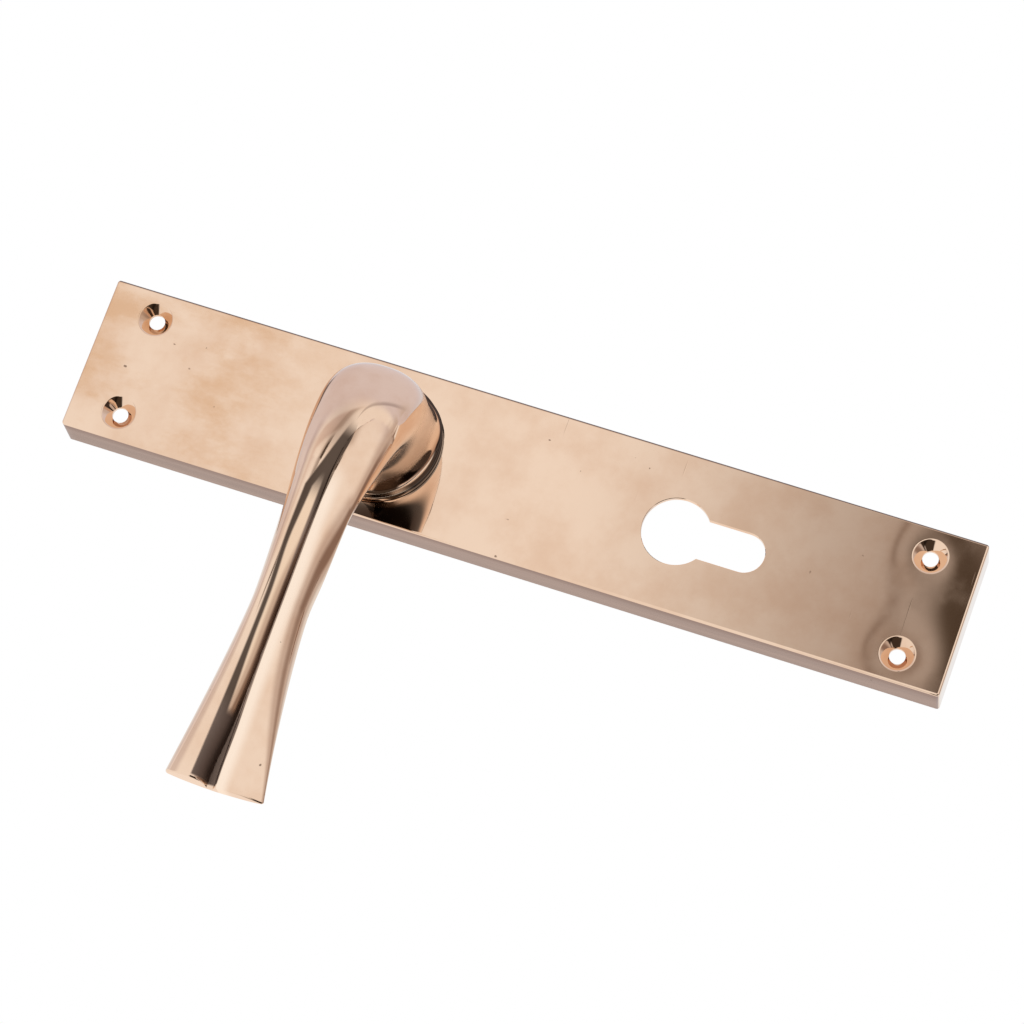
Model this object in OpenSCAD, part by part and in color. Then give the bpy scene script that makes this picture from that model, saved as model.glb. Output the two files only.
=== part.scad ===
// Lever door handle on a long backplate, for a euro-profile cylinder.
// Fitted to a door: +Z is up, the door face is the plane Y = 0 and the lever
// stands out towards -Y. The origin is where the spindle axis meets the door.

/* [Backplate] */
// Width of the backplate
plate_w = 44; // [42:0.5:60]
// Height of the backplate
plate_h = 250; // [240:1:300]
// Depth of the backplate, from the door face to its front
plate_depth = 12.5; // [12.5:0.25:16]
// Thickness of the pressed sheet
sheet_t = 1.5; // [1.2:0.1:1.8]
// Radius of the four corners, seen from the front
corner_r = 0.8; // [0.4:0.1:1.4]
// Radius of the edge round the front
edge_r = 0.5; // [0.2:0.1:1]
// From the top end of the plate down to the spindle axis
spindle_from_top = 84.5; // [70:0.5:100]

/* [Screw holes] */
// Hole for a fixing screw
screw_d = 4.4; // [3.6:0.1:5]
// Width of the pressed countersink at the front
dish_d = 9.4; // [8.5:0.1:11]
// Rounding of the countersink's lip
lip_r = 0.6; // [0.3:0.1:0.8]
// Length of the straight part of the hole
screw_land = 1.2; // [0.8:0.1:1.6]
// From a side of the plate to the holes beside it
screw_from_side = 7.8; // [7.5:0.1:10]
// From an end of the plate to the two holes near it
screw_from_end = 14; // [9:0.5:20]

/* [Cylinder cut-out] */
// From the spindle axis down to the axis of the lock cylinder
centres = 85; // [72:1:92]
// Round part of the cut-out
cyl_d = 18.8; // [17.5:0.1:20]
// Width of the slot below it
slot_w = 11.3; // [10.4:0.1:12.4]
// Whole height of the cut-out
cyl_h = 34.2; // [33:0.1:36]

/* [Lever] */
// From the spindle axis to the free end of the grip
lever_len = 112.8; // [95:0.5:135]
// Clear space between the plate and the back of the grip
finger_gap = 33.5; // [31:0.5:42]
// Thickness of the grip at its waist
grip_t = 10.3; // [8.5:0.1:12]
// Width of the grip at its waist
waist_w = 14.8; // [12:0.1:18]
// From the spindle axis to the waist
waist_at = 62; // [56:1:72]
// Width of the flared end of the grip
end_w = 27; // [20:0.1:32]
// Thickness of the grip at its end
end_t = 8.7; // [7:0.1:10]
// How far the back of the grip falls towards the door at its end
end_drop = 2.9; // [1:0.1:5]
// Chamfer round the end of the grip
end_chamfer = 0.4; // [0.2:0.1:0.8]
// Width of the neck and head
neck_w = 26.8; // [25:0.1:29]
// From the spindle axis to the side of the neck away from the grip
neck_front = 13.2; // [12.5:0.1:14.5]
// From the spindle axis to the side of the neck under the grip
neck_back = 14.4; // [13.5:0.1:15.5]
// Width of the round flange on the plate
flange_d = 35.2; // [34.6:0.1:38]
// Height of the flange's rim
flange_t = 1.8; // [1.5:0.1:2.4]
// Rounding of the flange's rim
rim_r = 0.5; // [0.3:0.1:0.7]
// Running gap between the lever and the plate
flange_gap = 0.3; // [0.2:0.05:0.5]

/* [Lobes of the grip] */
// From the middle of the grip to the ridge of its upper lobe
ridge_side = 4.5; // [3.6:0.1:5]
// From the middle of the grip to the crest of its lower lobe
crest_side = 0.9; // [0.6:0.05:2]
// How far the crest lies below the ridge
crest_drop = 1.6; // [0.8:0.1:2.2]
// Depth of the roll from the ridge into the groove
roll_depth = 6.1; // [4.5:0.1:6.5]
// How far the groove's floor falls towards the door near the end
floor_fall = 3.2; // [2:0.1:3.4]
// From the spindle axis to where the two lobes have parted
parted_at = 8; // [6:1:16]
// Depth of the shallow valley along the back of the grip
valley_depth = 0.7; // [0.3:0.1:1.2]

/* [Spindle and hub] */
// Width across the flats of the square spindle
spindle_w = 8; // [7:0.5:9]
// Depth of the square socket, from the end of the hub
socket_depth = 25; // [20:1:28]
// Diameter of the hub that turns in the bush
hub_d = 17.9; // [16.5:0.1:18.5]
// Width across the two flats at the end of the hub
flats_w = 14; // [13:0.1:15]

/* [Bush] */
// Wall of the sleeve
bush_wall = 1.75; // [1.4:0.05:2]
// Width of the flange under the lever
bush_flange_d = 30; // [28:0.5:31]
// Thickness of that flange
bush_flange_t = 0.8; // [0.6:0.05:1]

/* [Return mechanism] */
// How far the lever turns down from rest, in degrees
travel = 48; // [35:1:55]
// Thickness of the carrier plate
carrier_t = 1.2; // [1:0.1:1.5]
// Height of the carrier plate
carrier_h = 60; // [58:1:70]
// Width of a stop tab
tab_w = 12; // [9:0.5:13]
// From the spindle axis to the inside of a stop tab
tab_in = 15.5; // [15.3:0.1:15.8]
// Thickness of the cam
cam_t = 1.5; // [1.2:0.1:1.6]
// Radius of the cam
cam_r = 17.5; // [17.2:0.1:18]
// Radius to the floor of the cam's notches
notch_r = 14.5; // [14.4:0.1:14.8]
// Thickness of the wear washer
washer_t = 0.5; // [0.3:0.1:0.6]
// Thickness of the circlip
clip_t = 0.95; // [0.8:0.05:1.1]
// Width of the circlip's ring
clip_w = 2; // [1.6:0.1:2.4]
// Depth of the circlip's groove in the hub
clip_groove = 0.75; // [0.5:0.05:0.9]
// Hub left beyond the circlip
hub_lip = 0.65; // [0.5:0.05:0.8]

/* [Return spring] */
// Wire of the spring
wire_d = 1.3; // [1:0.1:1.4]
// Radius of a curl, to the middle of the wire
curl_r = 13; // [12.9:0.1:13.2]
// Clear gap between two curls
curl_gap = 0.5; // [0.45:0.05:0.8]
// Radius of the two bends that lead into the holes
tang_r = 0.9; // [0.8:0.1:1]

/* [Studs and nuts] */
// Diameter of a weld stud
stud_d = 4; // [3:0.5:4]
// From the spindle axis to a stud
stud_at = 24; // [23.5:0.5:25]
// Stud left beyond the nut
stud_end = 0.8; // [0.5:0.1:1.2]
// Width across the flats of a nut
nut_w = 7; // [6:0.5:7]
// Thickness of a nut
nut_t = 2.2; // [1.8:0.1:2.4]

/* [Clearances] */
// Radial gap between the hub and the bush
run_fit = 0.05; // [0.03:0.01:0.1]
// Gap round a piece that passes through a hole
hole_fit = 0.2; // [0.15:0.05:0.3]
// End play of the turning stack
end_play = 0.05; // [0.03:0.01:0.1]
// Gap between a stop tab and the end of its notch at rest
stop_gap = 0.3; // [0.2:0.05:0.4]
// Gap between the end of the hub and the door
door_gap = 0.3; // [0.2:0.05:0.4]

/* [Hidden] */

// Colours of the metals and of the nylon
polished = [0.86, 0.72, 0.62];
zinc = [0.74, 0.75, 0.76];
spring_steel = [0.42, 0.43, 0.45];
black_steel = [0.20, 0.20, 0.21];
nylon = [0.90, 0.89, 0.85];

// Smoothness of round shapes, and the overshoot that keeps cuts clean
$fn = 96;
over = 1;

// Heights above the door face
inner_z = plate_depth - sheet_t;
carrier_z = inner_z - carrier_t;
clip_z = door_gap + hub_lip;
cam_z = clip_z + clip_t + end_play;
cam_top = cam_z + cam_t;
washer_z = cam_top + end_play;
sleeve_z = washer_z + washer_t + end_play;
flange_z = plate_depth + flange_gap;
recess_z = plate_depth + bush_flange_t + end_play * 2;
tab_tip = cam_z - 0.8;

// Places down the plate
plate_mid = spindle_from_top - plate_h / 2;
screw_x = plate_w / 2 - screw_from_side;
screw_y = plate_h / 2 - screw_from_end;

// Round fits about the spindle axis
bore_r = hub_d / 2 + run_fit;
sleeve_r = bore_r + bush_wall;

// The countersink falls at 45 degrees, and the sheet is pushed back behind it
dish_depth = (dish_d - screw_d) / 2;
dimple_z = plate_depth - dish_depth - screw_land;
dimple_r = dish_d / 2 + sheet_t * tan(22.5);

// Stands children on the door face, with local z pointing out from the door
module from_door() {
    rotate([90, 0, 0])
        children();
}

// Rectangle about its middle with round corners
module round_rect(w, h, r) {
    square([w - 2 * r, h], center = true);
    square([w, h - 2 * r], center = true);
    for (x = [-1, 1], y = [-1, 1])
        translate([x * (w / 2 - r), y * (h / 2 - r)])
            circle(r);
}

// Cross-section of the tray's outside, from below the door face to the front
module tray_section(w) {
    depth = plate_depth + 2 * edge_r;
    translate([0, plate_depth - depth / 2])
        round_rect(w, depth, edge_r);
}

module tray_outside() {
    intersection() {
        translate([0, plate_mid, 0])
            linear_extrude(plate_depth)
                round_rect(plate_w, plate_h, corner_r);
        translate([0, plate_mid + plate_h / 2 + over, 0])
            rotate([90, 0, 0])
                linear_extrude(plate_h + 2 * over)
                    tray_section(plate_w);
        translate([-plate_w / 2 - over, plate_mid, 0])
            rotate([90, 0, 90])
                linear_extrude(plate_w + 2 * over)
                    tray_section(plate_h);
    }
}

// Half section of the countersink: cone, round lip and a straight hole
module dish_cut() {
    lip_x = dish_d / 2 + lip_r * tan(22.5);
    rotate_extrude()
        polygon(concat(
            [[0, dimple_z - over], [screw_d / 2, dimple_z - over],
             [screw_d / 2, plate_depth - dish_depth]],
            [for (a = [45:-9:0])
                [lip_x - lip_r * sin(a), plate_depth - lip_r + lip_r * cos(a)]],
            [[lip_x, plate_depth + over], [0, plate_depth + over]]));
}

module at_screws() {
    for (x = [-1, 1], y = [-1, 1])
        translate([x * screw_x, plate_mid + y * screw_y, 0])
            children();
}

// Outline of a euro-profile cylinder: a circle with a round-ended slot
module cylinder_outline() {
    slot_y = cyl_d / 2 - cyl_h + slot_w / 2;
    circle(d = cyl_d);
    translate([-slot_w / 2, slot_y])
        square([slot_w, -slot_y]);
    translate([0, slot_y])
        circle(d = slot_w);
}

module backplate() {
    color(polished)
        from_door()
            difference() {
                union() {
                    difference() {
                        tray_outside();
                        translate([0, plate_mid, -over])
                            linear_extrude(inner_z + over)
                                round_rect(plate_w - 2 * sheet_t,
                                           plate_h - 2 * sheet_t, corner_r);
                    }
                    at_screws()
                        translate([0, 0, dimple_z])
                            cylinder(h = inner_z - dimple_z,
                                     r1 = dimple_r - (inner_z - dimple_z),
                                     r2 = dimple_r);
                }
                at_screws()
                    dish_cut();
                translate([0, 0, inner_z - over])
                    cylinder(h = sheet_t + 2 * over, r = sleeve_r + run_fit);
                translate([0, -centres, inner_z - over])
                    linear_extrude(sheet_t + 2 * over)
                        cylinder_outline();
            }
}

module at_studs() {
    for (y = [-1, 1])
        translate([0, y * stud_at, 0])
            children();
}

module weld_studs() {
    stud_z = carrier_z - nut_t - stud_end;
    color(zinc)
        from_door()
            at_studs()
                translate([0, 0, stud_z])
                    cylinder(h = inner_z - stud_z, d = stud_d);
}

module stud_nuts() {
    color(zinc)
        from_door()
            at_studs()
                translate([0, 0, carrier_z - nut_t])
                    difference() {
                        cylinder(h = nut_t, d = nut_w / cos(30), $fn = 6);
                        translate([0, 0, -over])
                            cylinder(h = nut_t + 2 * over, r = stud_d / 2 + run_fit);
                    }
}

// Section of a stop tab, bent back at the edge of the carrier plate
module tab_section() {
    bend_r = carrier_t;
    translate([tab_in + carrier_t - bend_r, inner_z - bend_r])
        intersection() {
            circle(bend_r);
            square(bend_r);
        }
    translate([tab_in, tab_tip])
        square([carrier_t, inner_z - bend_r - tab_tip]);
}

module carrier() {
    color(zinc)
        from_door()
            difference() {
                union() {
                    translate([0, 0, carrier_z])
                        linear_extrude(carrier_t)
                            round_rect(2 * tab_in, carrier_h, carrier_t);
                    for (side = [0, 180])
                        rotate([0, 0, side])
                            translate([0, tab_w / 2, 0])
                                rotate([90, 0, 0])
                                    linear_extrude(tab_w)
                                        tab_section();
                }
                translate([0, 0, carrier_z - over])
                    cylinder(h = carrier_t + 2 * over, r = sleeve_r + hole_fit);
                at_studs()
                    translate([0, 0, carrier_z - over])
                        cylinder(h = carrier_t + 2 * over,
                                 r = stud_d / 2 + hole_fit);
                rotate([0, 0, spring_start])
                    translate([curl_r, 0, carrier_z - over])
                        cylinder(h = carrier_t + 2 * over,
                                 r = wire_d / 2 + hole_fit);
            }
}

// Bush: a thin flange on the plate and a sleeve down to the washer
module bush() {
    flange_r = bush_flange_d / 2;
    top_z = plate_depth + bush_flange_t;
    soft = bush_flange_t / 3;
    color(nylon)
        from_door()
            rotate_extrude()
                polygon([[bore_r, sleeve_z], [sleeve_r - soft, sleeve_z],
                         [sleeve_r, sleeve_z + soft], [sleeve_r, plate_depth],
                         [flange_r, plate_depth], [flange_r, top_z - soft],
                         [flange_r - soft, top_z], [bore_r, top_z]]);
}

module wear_washer() {
    color(zinc)
        from_door()
            translate([0, 0, washer_z])
                difference() {
                    cylinder(h = washer_t, r = sleeve_r + sheet_t / 2);
                    translate([0, 0, -over])
                        cylinder(h = washer_t + 2 * over,
                                 r = hub_d / 2 + hole_fit);
                }
}

// Hub section at its end, a circle with two flats
module double_d(r, w) {
    intersection() {
        circle(r);
        square([2 * r + over, w], center = true);
    }
}

// The cam turns with the lever, and its two notches meet the stop tabs
module cam() {
    tab_corner = [tab_in, tab_w / 2];
    rest_a = atan2(tab_corner[1], tab_corner[0])
           + asin(stop_gap / norm(tab_corner));
    reach = cam_r * 2;
    color(black_steel)
        from_door()
            translate([0, 0, cam_z])
                linear_extrude(cam_t)
                    difference() {
                        circle(cam_r);
                        double_d(hub_d / 2 + run_fit, flats_w + 2 * run_fit);
                        for (side = [0, 180])
                            rotate(side)
                                difference() {
                                    polygon([[0, 0],
                                        for (a = [-rest_a - travel, -travel / 2, rest_a])
                                            reach * [cos(a), sin(a)]]);
                                    circle(notch_r);
                                }
                        rotate(spring_end)
                            translate([curl_r, 0])
                                circle(wire_d / 2 + hole_fit);
                    }
}

// Open ring with two eyes for the pliers
module circlip() {
    ring_r = hub_d / 2 - clip_groove + run_fit;
    eye_r = clip_w * 0.8;
    eye_a = 15;
    color(black_steel)
        from_door()
            translate([0, 0, clip_z])
                linear_extrude(clip_t)
                    difference() {
                        union() {
                            circle(ring_r + clip_w);
                            for (a = [-eye_a, eye_a])
                                rotate(-90 + a)
                                    translate([ring_r + eye_r, 0])
                                        circle(eye_r);
                        }
                        circle(ring_r);
                        for (a = [-eye_a, eye_a])
                            rotate(-90 + a)
                                translate([ring_r + eye_r, 0])
                                    circle(eye_r / 2);
                        translate([0, -ring_r])
                            square([ring_r * tan(eye_a) - eye_r / 4,
                                    4 * clip_w], center = true);
                    }
}

// The spring's middle line lies on a cylinder of radius curl_r, so each of its
// points is [way round, height]. It leaves the carrier square, bends into the
// curls and bends out again to enter the cam square.
pitch = wire_d + curl_gap;
curl_len = 2 * PI * curl_r;
top_bend_z = carrier_z - wire_d / 2;
low_bend_z = cam_top + wire_d / 2;
coil_drop = top_bend_z - low_bend_z - 2 * tang_r;
coil_len = curl_len * coil_drop / pitch;
coil_end = tang_r + coil_len;
rings_per_curl = 8;
wire_sides = 6;
coil_steps = floor(coil_len / curl_len * rings_per_curl);
spring_start = 118;
spring_end = spring_start + 360 * (coil_end + tang_r) / curl_len;

spring_path = concat(
    [[0, carrier_z + wire_d / 2]],
    [for (a = [0:30:60])
        [tang_r * (1 - cos(a)), top_bend_z - tang_r * sin(a)]],
    [for (i = [0:coil_steps])
        [tang_r + i * curl_len / rings_per_curl,
         top_bend_z - tang_r - i * pitch / rings_per_curl]],
    [for (a = [0:30:90])
        [coil_end + tang_r * sin(a), low_bend_z + tang_r * cos(a)]],
    [[coil_end + tang_r, cam_top - wire_d / 2]]);

function on_coil(p, r) =
    let(a = spring_start + 360 * p[0] / curl_len)
    [r * cos(a), r * sin(a), p[1]];

// Direction of the path at its point i, as [way round, height]
function path_dir(i) =
    let(n = len(spring_path),
        d = spring_path[min(i + 1, n - 1)] - spring_path[max(i - 1, 0)],
        end = i == 0 || i == n - 1)
    end ? [0, -1] : d / norm(d);

function wire_ring(i) =
    let(p = spring_path[i], d = path_dir(i))
    [for (k = [0:wire_sides - 1])
        let(a = 360 * k / wire_sides, side = wire_d / 2 * sin(a))
        on_coil([p[0] - d[1] * side, p[1] + d[0] * side],
                curl_r + wire_d / 2 * cos(a))];

// Least gap between curls, from points of the middle line that are at least
// three quarters of a curl apart
spring_gap = min([for (i = [0:len(spring_path) - 1], j = [i + 1:len(spring_path) - 1])
    let(far = spring_path[j][0] - spring_path[i][0] > 0.75 * curl_len)
    if (far) norm(on_coil(spring_path[i], curl_r) - on_coil(spring_path[j], curl_r))
             - wire_d]);

// Skin over rings of equal counts of points, closed by a fan at both ends
module skin(rings) {
    n = len(rings[0]);
    last = len(rings) - 1;
    middles = [for (ring = [rings[0], rings[last]])
        [for (axis = [0:2]) [for (p = ring) p[axis]] * [for (p = ring) 1 / n]]];
    first_middle = (last + 1) * n;
    polyhedron(
        points = concat([for (ring = rings, p = ring) p], middles),
        faces = concat(
            [for (k = [0:last - 1], i = [0:n - 1])
                let(j = (i + 1) % n)
                each [[k * n + i, k * n + n + i, k * n + j],
                      [k * n + j, k * n + n + i, k * n + n + j]]],
            [for (i = [0:n - 1]) [first_middle, i, (i + 1) % n]],
            [for (i = [0:n - 1])
                [first_middle + 1, last * n + (i + 1) % n, last * n + i]]));
}

module return_spring() {
    echo(least_gap_of_the_spring_to_itself = spring_gap);
    color(spring_steel)
        from_door()
            skin([for (i = [0:len(spring_path) - 1]) wire_ring(i)]);
}

// The lever is a skin over sections. A section is held by its line from the
// outside of the lever to its inside, in the plane of the grip: each end of
// the line is [way along the grip, height above the door]. A section is
// [outer end, inner end, half width, front fullness, back fullness, lean], the
// lean being how far the head stands off the middle, to the lower lobe's side.
head_lean = 1;
flare_top = [plate_depth + 17.5, plate_depth + 12];
skin_z = flange_z + flange_t * 0.55;
flare_r = flange_d / 2 - rim_r - 0.4;
grip_in_z = plate_depth + finger_gap;
grip_out_z = grip_in_z + grip_t;
out_bend_at = 22;
in_bend_at = 49;
bend_rise = 0.8;
shoulder = 2.5;
end_out_z = grip_in_z - end_drop + end_t;
bend_w = 17.8;

function mix(a, b, u) = a + (b - a) * u;
function ease(u) = let(v = max(0, min(1, u))) v * v * (3 - 2 * v);

// Flange to neck: a quarter of an ellipse, hollow towards the plate
function flare_station(u) =
    let(c = 1 - cos(90 * (1 - u)), s = sin(90 * (1 - u)))
    [[-mix(neck_front, flare_r, c), mix(flare_top[0], skin_z, s)],
     [mix(neck_back, flare_r, c), mix(flare_top[1], skin_z, s)],
     mix(neck_w / 2, flare_r, c), mix(2, 2.4, ease(u)), 2, head_lean * (1 - c)];

// Neck to grip: a full round shoulder outside and an ellipse inside
function bend_station(u) =
    let(a = 90 * u, c = cos(a), s = sin(a))
    [[mix(out_bend_at, -neck_front, pow(c, 2 / shoulder)),
      mix(flare_top[0], grip_out_z - bend_rise, pow(s, 2 / shoulder))],
     [mix(in_bend_at, neck_back, c), mix(flare_top[1], grip_in_z, s)],
     mix(neck_w, bend_w, pow(u, 2.2)) / 2, mix(2.4, 2, u), mix(2, 1.8, u),
     head_lean * (1 - u * u)];

// Along the grip to its waist, then out like a trumpet to its end
function waist_station(u) =
    [[mix(out_bend_at, waist_at, u), grip_out_z - bend_rise * pow(1 - u, 2)],
     [mix(in_bend_at, waist_at, u), grip_in_z],
     mix(waist_w, bend_w, pow(1 - u, 1.5)) / 2, 2, mix(1.8, 1.7, u), 0];

function end_station(u) =
    let(x = mix(waist_at, lever_len - end_chamfer, u))
    [[x, mix(grip_out_z, end_out_z, u * u)],
     [x, mix(grip_in_z, grip_in_z - end_drop, u * u)],
     mix(waist_w, end_w, pow(u, 1.4)) / 2, mix(2, 1.7, u), mix(1.7, 1.5, u), 0];

flare_steps = 8;
bend_steps = 18;
waist_steps = 9;
end_steps = 14;
stations = concat(
    [for (i = [0:flare_steps - 1]) flare_station(i / flare_steps)],
    [for (i = [0:bend_steps - 1]) bend_station(i / bend_steps)],
    [for (i = [0:waist_steps - 1]) waist_station(i / waist_steps)],
    [for (i = [0:end_steps]) end_station(i / end_steps)]);

// The crest starts at the side of the head and swings in to the middle
crest_swing = 10.3;
crest_run = 5.9;
flare_from = 75;
flare_run = 40;
ridge_run = 24;
dome_run = 8;
low_edge_from = 8;
crest_shift = 0.4;
function near_end(s) = ease((s - flare_from) / flare_run);
function crest_x(s) =
    min(crest_side + crest_swing * exp(-s / crest_run) - crest_shift * near_end(s),
        neck_w / 2);

// The ridge moves out from the middle of the head, and farther near the end
ridge_shift = 2.2;
function ridge_x(s) = -(ridge_side + ridge_shift * near_end(s)) * ease(s / ridge_run);

// How far the two lobes have parted, 0 to 1
function parted(s) = ease((s + dome_run / 2) / (parted_at + dome_run / 2));

// A quarter of an ellipse: 1 at u = 0, falling to 0 at u = 1
function roll(u) = sqrt(max(0, 1 - u * u));

flank_room = 1.07;
roll_end = 0.97;
roll_fall = 6;
crest_wall = 3;
crest_sink = 1.4;
end_reach = 4.2;

// Heights of the front above the back: two rolls side by side, and the floor
// of the groove between them, which shows only near the end
function upper_lobe(x, s, w, thick, edges) =
    let(ridge = ridge_x(s), d = x - ridge,
        parted_reach = mix((crest_x(s) - ridge) * flank_room, end_reach, near_end(s)),
        reach = mix(w, parted_reach, parted(s)),
        deep = mix(thick - edges[1], roll_depth, parted(s)))
    d < 0 ? mix(edges[0], thick, roll(d / (w + ridge)))
          : thick - deep * (1 - roll(d / reach)) - roll_fall * max(0, d - roll_end * reach);

function lower_lobe(x, s, w, thick, edges) =
    let(top = thick - (crest_drop + crest_sink * near_end(s)) * parted(s))
    mix(edges[1], top, roll(max(0, x) / w)) - crest_wall * max(0, crest_x(s) - x);

floor_hidden = 6.5;
floor_depth = 3.2;
ramp_from = 86;
ramp_run = 27;
function ramp(s) = max(0, min(1, (s - ramp_from) / ramp_run));
function groove_floor(x, s, thick) =
    let(depth = mix(floor_hidden, floor_depth, ease((s - ridge_run) / flare_run)))
    thick - depth - floor_fall * ramp(s) - crest_wall * max(0, x - crest_x(s))
        - roll_fall * max(0, ridge_x(s) - x);

front_points = 44;
crest_point = 18;
back_points = 20;

// Places across the front, one of them on the crest, close together near it
function across(i, s, w) =
    let(crest = min(crest_x(s) / w, 0.9),
        beyond = (i - crest_point) / (front_points - crest_point),
        even = sin(90 * (1 - 2 * i / front_points)),
        led = i < crest_point ? mix(crest, 1, cos(90 * i / crest_point))
                              : mix(crest, -1, (beyond + (1 - cos(180 * beyond)) / 2) / 2))
    mix(even, led, ease((s + dome_run) / (2 * dome_run)));

valley_x = -2;
valley_w = 4.2;

// Heights of the section's widest points above the back, on the side of the
// upper lobe and on that of the lower one
high_edge = 0.62;
mid_edge = 0.5;
low_edge = 0.2;
end_edge = 0.4;
function edge_heights(s, thick) =
    [thick * mix(high_edge, mid_edge, ease(s / waist_at)),
     thick * mix(mix(high_edge, low_edge, ease((s - low_edge_from) / flare_run)),
                 end_edge, near_end(s))];

function lever_point(p, x) = [-p[0], -x, p[1]];

function lever_ring(st, shrink) =
    let(out = st[0], inn = st[1], up = (out - inn) / norm(out - inn), s = out[0],
        w = st[2] - shrink, thick = norm(out - inn) - 2 * shrink,
        edges = edge_heights(s, thick), base = inn + up * shrink, lean = st[5])
    concat(
        [for (i = [0:front_points - 1])
            let(e = across(i, s, w), edge = mix(edges[0], edges[1], ease((e + 1) / 2)),
                dome = mix(edge, thick, pow(1 - pow(abs(e), st[3]), 1 / st[3])),
                lobes = max(upper_lobe(w * e, s, w, thick, edges),
                            lower_lobe(w * e, s, w, thick, edges),
                            groove_floor(w * e, s, thick)))
            lever_point(base + up * mix(dome, lobes, ease(1 + s / dome_run)),
                        w * e + lean)],
        [for (i = [0:back_points - 1])
            let(e = sin(90 * (2 * i / back_points - 1)),
                edge = mix(edges[0], edges[1], ease((e + 1) / 2)),
                t = pow(1 - pow(abs(e), st[4]), 1 / st[4]),
                d = (w * e - valley_x) / valley_w,
                along = ease(s / waist_at - 0.5) * (1 - ramp(s)),
                valley = valley_depth * along * exp(-d * d))
            lever_point(base + up * (edge * (1 - t) + valley), w * e + lean)]);

module lever_skin() {
    last = stations[len(stations) - 1];
    reach = [end_chamfer, 0];
    tip = [last[0] + reach, last[1] + reach, last[2], last[3], last[4], last[5]];
    skin(concat([for (st = stations) lever_ring(st, 0)],
                [lever_ring(tip, end_chamfer)]));
}

// Round flange, its rim rounded above
module lever_flange() {
    r = flange_d / 2;
    top = flange_z + flange_t;
    rotate_extrude()
        polygon(concat(
            [[0, flange_z], [r, flange_z]],
            [for (a = [0:15:90])
                [r - rim_r + rim_r * cos(a), top - rim_r + rim_r * sin(a)]],
            [[0, top]]));
}

module lever_hub() {
    translate([0, 0, cam_top])
        cylinder(h = skin_z - cam_top, d = hub_d);
    translate([0, 0, door_gap])
        linear_extrude(cam_top - door_gap)
            double_d(hub_d / 2, flats_w);
}

module clip_groove_cut() {
    translate([0, 0, clip_z - end_play])
        linear_extrude(clip_t + 2 * end_play)
            difference() {
                circle(hub_d);
                circle(hub_d / 2 - clip_groove);
            }
}

// Ring-shaped recess over the bush's flange
module bush_recess() {
    translate([0, 0, flange_z - over])
        linear_extrude(recess_z - flange_z + over)
            difference() {
                circle(bush_flange_d / 2 + stop_gap);
                circle(hub_d / 2);
            }
}

module lever() {
    socket_w = spindle_w + hole_fit / 2;
    color(polished)
        from_door()
            difference() {
                union() {
                    lever_skin();
                    lever_flange();
                    lever_hub();
                }
                bush_recess();
                clip_groove_cut();
                translate([-socket_w / 2, -socket_w / 2, door_gap - over])
                    cube([socket_w, socket_w, socket_depth + over]);
            }
}

backplate();
weld_studs();
carrier();
stud_nuts();
bush();
wear_washer();
return_spring();
lever();
cam();
circlip();
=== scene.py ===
# %% [markdown]
# # A lever door handle on a long backplate
# The handle is a mirror-polished bronze-toned lever on a hollow pressed plate, with a
# small spring set hidden behind it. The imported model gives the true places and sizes.
# This notebook dresses it: finer skins for the two pieces that show, threads and wire
# for the small ones, and a finish for each. Only two pieces show from the front, so nearly
# all the work goes into them: the press marks of the plate and the two lobes of the lever.

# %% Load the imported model
import math

import bmesh
import bpy
from mathutils import Matrix, Vector
from mathutils.geometry import delaunay_2d_cdt


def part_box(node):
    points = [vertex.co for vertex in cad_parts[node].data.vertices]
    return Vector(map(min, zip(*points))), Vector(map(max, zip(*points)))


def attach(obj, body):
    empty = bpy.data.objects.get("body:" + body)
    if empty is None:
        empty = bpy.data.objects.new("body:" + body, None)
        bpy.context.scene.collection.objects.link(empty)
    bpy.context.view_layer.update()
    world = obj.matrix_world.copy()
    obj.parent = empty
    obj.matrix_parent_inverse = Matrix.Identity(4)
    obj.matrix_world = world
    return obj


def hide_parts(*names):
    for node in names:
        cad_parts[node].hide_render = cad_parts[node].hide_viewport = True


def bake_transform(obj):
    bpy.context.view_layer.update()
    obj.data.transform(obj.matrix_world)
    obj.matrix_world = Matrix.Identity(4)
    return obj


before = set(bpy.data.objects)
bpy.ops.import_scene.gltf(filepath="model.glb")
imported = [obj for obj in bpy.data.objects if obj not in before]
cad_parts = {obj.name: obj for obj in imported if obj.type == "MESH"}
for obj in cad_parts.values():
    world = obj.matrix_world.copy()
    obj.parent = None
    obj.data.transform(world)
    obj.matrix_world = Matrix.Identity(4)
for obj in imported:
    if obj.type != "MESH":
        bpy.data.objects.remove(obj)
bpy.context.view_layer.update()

# %% [markdown]
# The handle stands as it would on a door: Z is up and the door face is the plane Y = 0.
# It is easier to think of a turned piece in its own frame, with z along the spindle axis
# and pointing out of the door, so the helpers below take that frame in millimetres and
# give Blender's metres.

# %% Helpers: the door's frame
MM = 0.001
SEAM = 1e-6


def from_door(x, y, z):
    """A point beside the spindle axis and z in front of the door face, in millimetres."""
    return Vector((x * MM, -z * MM, y * MM))


plate_low, plate_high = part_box("backplate")
PLATE_W = (plate_high.x - plate_low.x) / MM
PLATE_H = (plate_high.z - plate_low.z) / MM
PLATE_DEPTH = -plate_low.y / MM
PLATE_MID = (plate_high.z + plate_low.z) / 2 / MM
print("plate:", round(PLATE_W, 2), "x", round(PLATE_H, 2), "x", round(PLATE_DEPTH, 2), "mm")

# %% [markdown]
# ## The camera
# The photograph is taken with a long lens from below and to the lever's side, and rolled
# so far that the plate lies almost across the picture. A camera is placed by what it looks
# at, from where, and how far it is rolled: that reads better than a matrix of nine numbers.

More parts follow.
